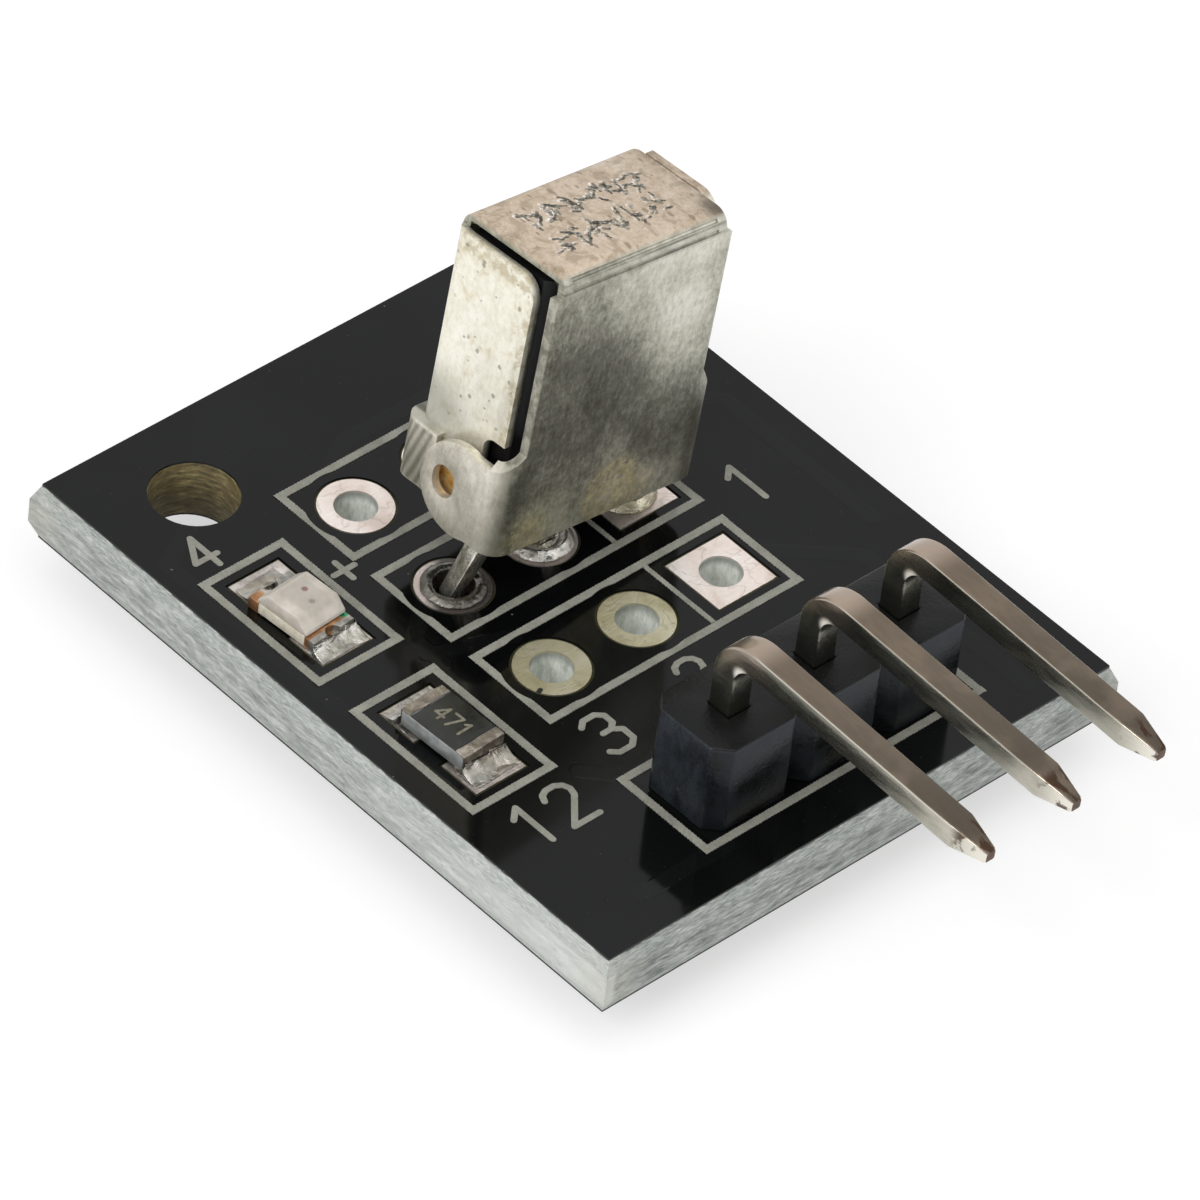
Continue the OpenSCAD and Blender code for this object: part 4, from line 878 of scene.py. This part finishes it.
def board_core():
    """The glass-fibre core with its edges rough where the board was snapped out of its panel."""
    mesh = nodes["circuit_board"].data.copy()
    solid = bmesh.new()
    solid.from_mesh(mesh)
    bmesh.ops.remove_doubles(solid, verts=solid.verts, dist=1e-7)
    slack = 0.01
    edge_faces = []
    for face in solid.faces:
        middle = face.calc_center_median() / MM
        if abs(middle.x) > BOARD_HALF_W - slack or abs(middle.y) > BOARD_HALF_L - slack:
            edge_faces.append(face)
    bmesh.ops.delete(solid, geom=edge_faces, context="FACES")
    rng = random.Random(7)
    step = 0.07
    scored = ((0.0, 0.0), (0.06, 0.14), (0.12, 0.28), (WEB_OUT, SCORE_DEPTH))
    profile = [(out, CORE_HIGH - down) for out, down in scored]
    rows = 7
    for i in range(1, rows):
        profile.append(
            (WEB_OUT, CORE_HIGH - SCORE_DEPTH - (CORE_HIGH - CORE_LOW - 2 * SCORE_DEPTH) * i / rows))
    profile += [(out, CORE_LOW + up) for out, up in scored[::-1]]
    sides = [((-1, 0), BOARD_HALF_W, BOARD_HALF_L), ((1, 0), BOARD_HALF_W, BOARD_HALF_L),
             ((0, -1), BOARD_HALF_L, BOARD_HALF_W), ((0, 1), BOARD_HALF_L, BOARD_HALF_W)]
    for (nx, ny), reach, half in sides:
        count = int(2 * half / step)
        grid = []
        for i in range(count + 1):
            s = i / count * 2 - 1
            line = []
            for out, z in profile:
                along = s * (half + out)
                depth = reach + out
                if 0 < out < WEB_OUT:
                    depth -= 0.02 * abs(field.noise(Vector((along * 0.9, z * 3, nx * 5 + ny * 9))))
                if out == WEB_OUT and abs(s) < 1:
                    tuft = field.noise(Vector((along * 0.9, z * 5.0, nx * 3 + ny * 7)))
                    fine = field.noise(Vector((along * 3.6, z * 13.0, nx * 2 + ny * 4)))
                    depth -= 0.045 + 0.045 * tuft + 0.04 * fine + rng.uniform(0, 0.008)
                    depth = min(depth, reach + out)
                point = (nx * depth, along, z) if nx else (along, ny * depth, z)
                line.append(solid.verts.new(Vector(point) * MM))
            grid.append(line)
        flip = (nx > 0) or (ny < 0)
        for a, b in zip(grid, grid[1:]):
            for k in range(len(profile) - 1):
                quad = (a[k], b[k], b[k + 1], a[k + 1])
                solid.faces.new(quad[::-1] if flip else quad)
    bmesh.ops.recalc_face_normals(solid, faces=solid.faces)
    solid.to_mesh(mesh)
    solid.free()
    coat(mesh, "fibre_core")
    made = placed("board_core", mesh)
    mesh.shade_smooth()
    mesh.set_sharp_from_angle(angle=math.radians(50))
    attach(made, "root")
    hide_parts("circuit_board")


def square_ring(centre, axis_a, axis_b, half, corner):
    """Points round a square with rounded corners, in the plane of two axes."""
    ring = []
    for quarter, (sa, sb) in enumerate(((1, 1), (-1, 1), (-1, -1), (1, -1))):
        for i in range(4):
            turn = math.radians(quarter * 90 + i * 30)
            a = sa * (half - corner) + corner * math.cos(turn)
            b = sb * (half - corner) + corner * math.sin(turn)
            ring.append(centre + axis_a * a + axis_b * b)
    return ring


def bent_pin(pin):
    """One square pin with its edges drawn round, its bend, and its tapered tip."""
    x = row_x(HEADER_X, pin)
    bend_z = BOARD_TOP + PIN_RISE - BEND_R
    bend_y = HEADER_Y - BEND_R
    side = Vector((1, 0, 0))
    half = PIN_SIDE / 2
    rings = []

    def station(y, z, angle, half_now, corner):
        across = Vector((0, math.cos(angle), math.sin(angle)))
        rings.append(square_ring(Vector((x, y, z)), side, across, half_now, corner))

    station(HEADER_Y, -TAIL, 0, half * 0.8, 0.05)
    station(HEADER_Y, -TAIL + 0.07, 0, half, 0.06)
    for z in (0, 1.6, 3.2, bend_z - 0.1):
        station(HEADER_Y, z, 0, half, 0.06)
    steps = 14
    end_turn = math.radians(90 + PIN_DROOP)
    for i in range(steps + 1):
        turn = end_turn * i / steps
        station(bend_y + BEND_R * math.cos(turn), bend_z + BEND_R * math.sin(turn), turn, half, 0.06)
    start = Vector((0, bend_y + BEND_R * math.cos(end_turn), bend_z + BEND_R * math.sin(end_turn)))
    along = Vector((0, -math.sin(end_turn), math.cos(end_turn)))
    for share in (0.15, 0.4, 0.65, 0.85, 1.0):
        at = start + along * (PIN_ARM - PIN_TAPER) * share
        station(at.y, at.z, end_turn, half, 0.06)
    for share in (0.06, 0.5, 0.94, 1.0):
        at = start + along * (PIN_ARM - PIN_TAPER + PIN_TAPER * share)
        now = half + (PIN_END / 2 - half) * share
        station(at.y, at.z, end_turn, now - (0.02 if share == 1.0 else 0), 0.05)
    points = [p for ring in rings for p in ring]
    n = len(rings[0])
    faces = [tuple(range(n))[::-1], tuple(range(len(points) - n, len(points)))]
    for r in range(len(rings) - 1):
        for i in range(n):
            j = (i + 1) % n
            faces.append((r * n + i, r * n + j, (r + 1) * n + j, (r + 1) * n + i))
    made = piece(f"pin_bar_{pin}", points, faces, "pin_metal")
    made.data.set_sharp_from_angle(angle=math.radians(40))
    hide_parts(f"header_pin_{pin}")


# Signs as lines in a cell one high
GLYPHS = {
    "1": [[(0.08, 0.78), (0.32, 1.0), (0.32, 0.0)]],
    "2": [[(0.0, 0.8), (0.06, 0.93), (0.2, 1.0), (0.4, 1.0), (0.54, 0.92), (0.6, 0.78), (0.56, 0.62),
           (0.0, 0.0), (0.62, 0.0)]],
    "3": [[(0.0, 0.88), (0.14, 1.0), (0.42, 1.0), (0.56, 0.88), (0.56, 0.66), (0.42, 0.54), (0.22, 0.54)],
          [(0.42, 0.54), (0.6, 0.42), (0.6, 0.14), (0.44, 0.0), (0.14, 0.0), (0.0, 0.12)]],
    "4": [[(0.44, 0.0), (0.44, 1.0), (0.0, 0.3), (0.62, 0.3)]],
    "7": [[(0.0, 1.0), (0.6, 1.0), (0.22, 0.0)]],
    "+": [[(0.3, 0.12), (0.3, 0.88)], [(-0.08, 0.5), (0.68, 0.5)]],
}


def capsule(points, faces, a, b, half, low, high):
    """Adds one flat stroke with round ends between two places."""
    a, b = Vector(a), Vector(b)
    along = (b - a).normalized()
    start = math.atan2(along.y, along.x)
    ring = []
    for end, turned in ((b, start - math.pi / 2), (a, start + math.pi / 2)):
        for i in range(7):
            t = turned + math.pi * i / 6
            ring.append((end.x + half * math.cos(t), end.y + half * math.sin(t)))
    first = len(points)
    n = len(ring)
    points += [(px, py, low) for px, py in ring] + [(px, py, high) for px, py in ring]
    faces.append(tuple(first + n + i for i in range(n)))
    for i in range(n):
        j = (i + 1) % n
        faces.append((first + i, first + j, first + n + j, first + n + i))


def written(text, origin, size, half, low, high, step=0.85, place=None):
    """The points and faces of a row of digits, as drawn strokes of ink."""
    points, faces = [], []
    lift = 0
    for index, sign in enumerate(text):
        for line in GLYPHS[sign]:
            for a, b in zip(line, line[1:]):
                at = [(origin[0] + (p[0] + index * step) * size, origin[1] + p[1] * size) for p in (a, b)]
                capsule(points, faces, at[0], at[1], half, low, high + lift)
                lift += STROKE_LIFT
    if place is not None:
        points = [tuple(place @ Vector(p)) for p in points]
    return points, faces


def printed_digits():
    """Pin numbers, the light's sign and the chips' numbers, printed on the board."""
    points, faces = [], []
    for text, origin, size in (
        ("1", (4.75, -0.7), 1.2), ("3", (-3.2, -4.75), 1.2), ("2", (-0.35, -4.55), 1.1),
        ("12", (-6.4, -5.85), 1.2), ("4", (-6.5, 4.95), 1.0), ("+", (-4.25, 2.75), 0.8),
    ):
        more, more_faces = written(text, origin, size, 0.075, BOARD_TOP, BOARD_TOP + 0.018)
        faces += [tuple(i + len(points) for i in f) for f in more_faces]
        points += more
    piece("printed_digits", points, faces, "grey_ink", smooth=False)


def struck_strokes():
    """Short strokes in two rows of clumps, as worn punch marks, and read as nothing."""
    rng = random.Random(41)
    clumps, clump_step = 6, 0.6
    strokes_made = []
    for row_y, first in ((0.42, -1.45), (-0.52, -1.7)):
        for i in range(clumps):
            x = first + i * clump_step
            for turn in (20, 45, 62, 80, 95, 128, 150, 172):
                turn = math.radians(turn + rng.uniform(-20, 20))
                reach = rng.uniform(0.05, 0.2)
                cx, cy = x + rng.uniform(-0.24, 0.24), row_y + rng.uniform(-0.3, 0.3)
                dx, dy = reach * math.cos(turn), reach * math.sin(turn)
                strokes_made.append(((cx - dx, cy - dy), (cx + dx, cy + dy)))
    return strokes_made


def stamped_marks():
    """Plain strokes struck into the top plate, dark as painted shade in their grooves, each with a burr
    beside it painted bright as a highlight.
    """
    wander = 0.03
    # The burrs are painted bright as highlights and the grooves dark as painted shade.
    for name, paint, shift, half, lift in (
        ("stamp_burrs", PAINTED_BURR_HIGHLIGHT, (-0.045, 0.05), 0.045, 0.004),
        ("stamp_grooves", PAINTED_GROOVE_SHADE, (0, 0), 0.036, 0.008),
    ):
        points, faces = [], []
        rng = random.Random(23)
        for a, b in struck_strokes():
            count = 3
            path = []
            for i in range(count + 1):
                share = i / count
                path.append((
                    a[0] + (b[0] - a[0]) * share + shift[0] + rng.uniform(-wander, wander),
                    a[1] + (b[1] - a[1]) * share + shift[1] + rng.uniform(-wander, wander)))
            for p, q in zip(path, path[1:]):
                if rng.random() < 0.84:
                    width = half * rng.uniform(0.45, 1.2)
                    capsule(points, faces, p, q, width, SHIELD_TOP - 0.02, SHIELD_TOP + lift)
        points = [tuple(receiver_place @ Vector(p)) for p in points]
        piece(name, points, faces, "tinned_sheet", smooth=False, paint=paint)


def printed_lines():
    """The frames round the rows, the header and the chips, with the saw-toothed edges of screen print.

    The ink keeps clear of the round pads' openings, so the lines are thinner beside them."""
    pads = [(row_x(ROWS_X, pin), y) for pin in (2, 3) for y in (FAR_ROW_Y, RECEIVER_ROW_Y, NEAR_ROW_Y)]
    points, faces = [], []
    step, teeth, ragged, thinnest = 0.045, 0.014, 0.008, 0.02
    rng = random.Random(11)

    def pushed(x, y, nx, ny):
        """A place on a line's inner edge, moved out of a pad's opening."""
        for px, py in pads:
            away = math.hypot(x - px, y - py)
            if away < PAD_CLEAR:
                across = (x - px) * nx + (y - py) * ny
                along = (x - px) * ny - (y - py) * nx
                move = math.sqrt(max(PAD_CLEAR ** 2 - along ** 2, 0)) - across
                return x + nx * move, y + ny * move
        return x, y

    def line(start, end, half, normal, drop=0.0):
        """One line of ink; drop keeps its top under the line that it meets."""
        (ax, ay), (bx, by) = start, end
        nx, ny = normal
        count = max(2, int(math.hypot(bx - ax, by - ay) / step))
        first = len(points)
        for i in range(count + 1):
            x, y = ax + (bx - ax) * i / count, ay + (by - ay) * i / count
            tooth = teeth if i % 2 and 0 < i < count else 0.0
            out = half - tooth - rng.uniform(0, ragged)
            inner = half - (teeth - tooth) - rng.uniform(0, ragged)
            ox, oy = x + nx * out, y + ny * out
            qx, qy = pushed(x - nx * inner, y - ny * inner, nx, ny)
            if (qx - x) * nx + (qy - y) * ny > out - thinnest:
                qx, qy = ox - nx * thinnest, oy - ny * thinnest
            for px, py in ((qx, qy), (ox, oy)):
                points.append((px, py, BOARD_TOP))
                points.append((px, py, BOARD_TOP + INK_T - drop))
        turned = (bx - ax) * ny - (by - ay) * nx < 0
        for i in range(count):
            a, b = first + 4 * i, first + 4 * i + 4
            faces.append((a + 1, a + 3, b + 3, b + 1) if turned else (a + 1, b + 1, b + 3, a + 3))
            faces.append((a, a + 1, b + 1, b))
            faces.append((a + 2, b + 2, b + 3, a + 3))

    def box_of_lines(cx, cy, w, l):
        """A frame of four lines round a middle."""
        x0, x1 = cx - w / 2 + LINE_W / 2, cx + w / 2 - LINE_W / 2
        y0, y1 = cy - l / 2 + LINE_W / 2, cy + l / 2 - LINE_W / 2
        h = LINE_W / 2
        line((x0 - h, y0), (x1 + h, y0), h, (0, -1))
        line((x0 - h, y1), (x1 + h, y1), h, (0, 1))
        line((x0, y0 + h / 2), (x0, y1 - h / 2), h, (-1, 0), 0.002)
        line((x1, y0 + h / 2), (x1, y1 - h / 2), h, (1, 0), 0.002)

    for y in (FAR_ROW_Y, RECEIVER_ROW_Y, NEAR_ROW_Y):
        box_of_lines(ROWS_X, y, *ROW_FRAME)
        x = ROWS_X + PITCH / 2
        reach = ROW_FRAME[1] / 2 - LINE_W
        line((x, y - reach), (x, y + reach), THIN_LINE_W / 2, (1, 0))
    box_of_lines(HEADER_X, HEADER_Y, *HEADER_FRAME)
    for y in CHIP_FRAMES_Y:
        box_of_lines(CHIP_FRAMES_X, y, *CHIP_FRAME)
    made = piece("printed_lines", points, faces, "grey_ink", smooth=False)
    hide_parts("printed_frames")


def resistor_code():
    """A three-digit value printed on the resistor."""
    turned = resistor_place @ Matrix.Rotation(math.radians(-90), 4, "Z")
    points, faces = written("471", (-0.46, -0.21), 0.42, 0.033, 0.48, 0.486, 0.82, turned)
    piece("resistor_code", points, faces, "resistor_glass", smooth=False, paint=CODE_INK)


board_core()
for pin in (1, 2, 3):
    bent_pin(pin)
stamped_marks()
printed_lines()
printed_digits()
resistor_code()
softened("header_housing", "header_plastic", 0.05)
softened("receiver_shield", "tinned_sheet", 0.03)
softened("resistor_body", "resistor_ceramic", 0.03)
softened("resistor_coat", "resistor_glass", 0.01)
melted("resistor_caps", "cap_metal", 0.02, 0.03, 9)
softened("led_base", "led_base_board", 0.02)
softened("led_terminals", "led_metal", 0.01)
softened("led_lens", "led_epoxy", 0.06, 3)
for pin in (1, 2, 3):
    softened(f"receiver_leg_{pin}", "leg_metal", 0.05)
melted("header_solder", "solder", 0.045, 0.02, 1)
for pin in (1, 2, 3):
    melted(f"receiver_solder_{pin}", "solder", 0.035, 0.03, 1 + pin)
melted("led_solder", "solder", 0.025, 0.04, 6)
melted("resistor_solder", "solder", 0.025, 0.04, 8)

# The solids that are shown as they are
for slot, names in {
    "black_mask": ("solder_mask_top", "solder_mask_bottom"),
    "plated_pads": (
        "spare_holes_far", "receiver_holes", "spare_holes_near", "header_holes", "led_pads", "resistor_pads",
    ),
    "receiver_epoxy": ("receiver_body",),
}.items():
    for name in names:
        coat(nodes[name].data, slot)


# Floor, sky and lamps

def seen_rays(tree):
    """One where the camera or a reflection sees a thing, and nought where it only gives light."""
    rays = tree.add("ShaderNodeLightPath").outputs
    return any_of(tree, [rays["Is Camera Ray"], rays["Is Glossy Ray"], rays["Is Transmission Ray"]])


floor_mesh = bpy.data.meshes.new("floor")
floor_z = -TAIL * MM
floor_points, floor_faces = [(0, 0, floor_z)], []
for i in range(FLOOR_SIDES):
    turn = math.tau * i / FLOOR_SIDES
    floor_points.append((FLOOR_R * math.cos(turn), FLOOR_R * math.sin(turn), floor_z))
    floor_faces.append((0, 1 + i, 1 + (i + 1) % FLOOR_SIDES))
floor_mesh.from_pydata(floor_points, [], floor_faces)
floor = placed("floor", floor_mesh)
floor_paint = bpy.data.materials.new("floor")
floor_paint.use_nodes = True
floor_tree = Tree(floor_paint.node_tree)
floor_shader = floor_paint.node_tree.nodes["Principled BSDF"]
floor_shader.inputs["Roughness"].default_value = 0.9
floor_shader.inputs["Specular IOR Level"].default_value = 0.0
seen = seen_rays(floor_tree)
floor_shade = floor_tree.mix(seen, (0.86, 0.86, 0.86, 1), (0.5, 0.5, 0.5, 1))
floor_tree.put(floor_shader.inputs["Base Color"], floor_shade)
floor_shader.inputs["Emission Color"].default_value = (1, 1, 1, 1)
floor_tree.put(floor_shader.inputs["Emission Strength"], floor_tree.times(seen, 0.56))
floor_mesh.materials.append(floor_paint)

world = bpy.data.worlds.new("world")
bpy.context.scene.world = world
world.use_nodes = True
sky = Tree(world.node_tree)
background = world.node_tree.nodes["Background"]
background.inputs["Color"].default_value = (1, 1, 1, 1)
sky.put(background.inputs["Strength"], sky.fade(seen_rays(sky), 0.0, 1.0, 0.5, 1.0))


def lamp(name, place, size, power):
    """A square lamp that looks at the board; its place and size in metres, its power in watts."""
    data = bpy.data.lights.new(name, "AREA")
    data.size = size
    data.energy = power
    made = placed(name, data)
    made.location = place
    made.rotation_euler = (-Vector(place)).to_track_quat("-Z", "Y").to_euler()


lamp("key", (-0.42, -0.02, 0.38), 0.3, 1.35)
lamp("top", (-0.1, -0.1, 0.5), 0.4, 0.6)
lamp("front", (0.2, -0.42, 0.24), 0.35, 0.4)
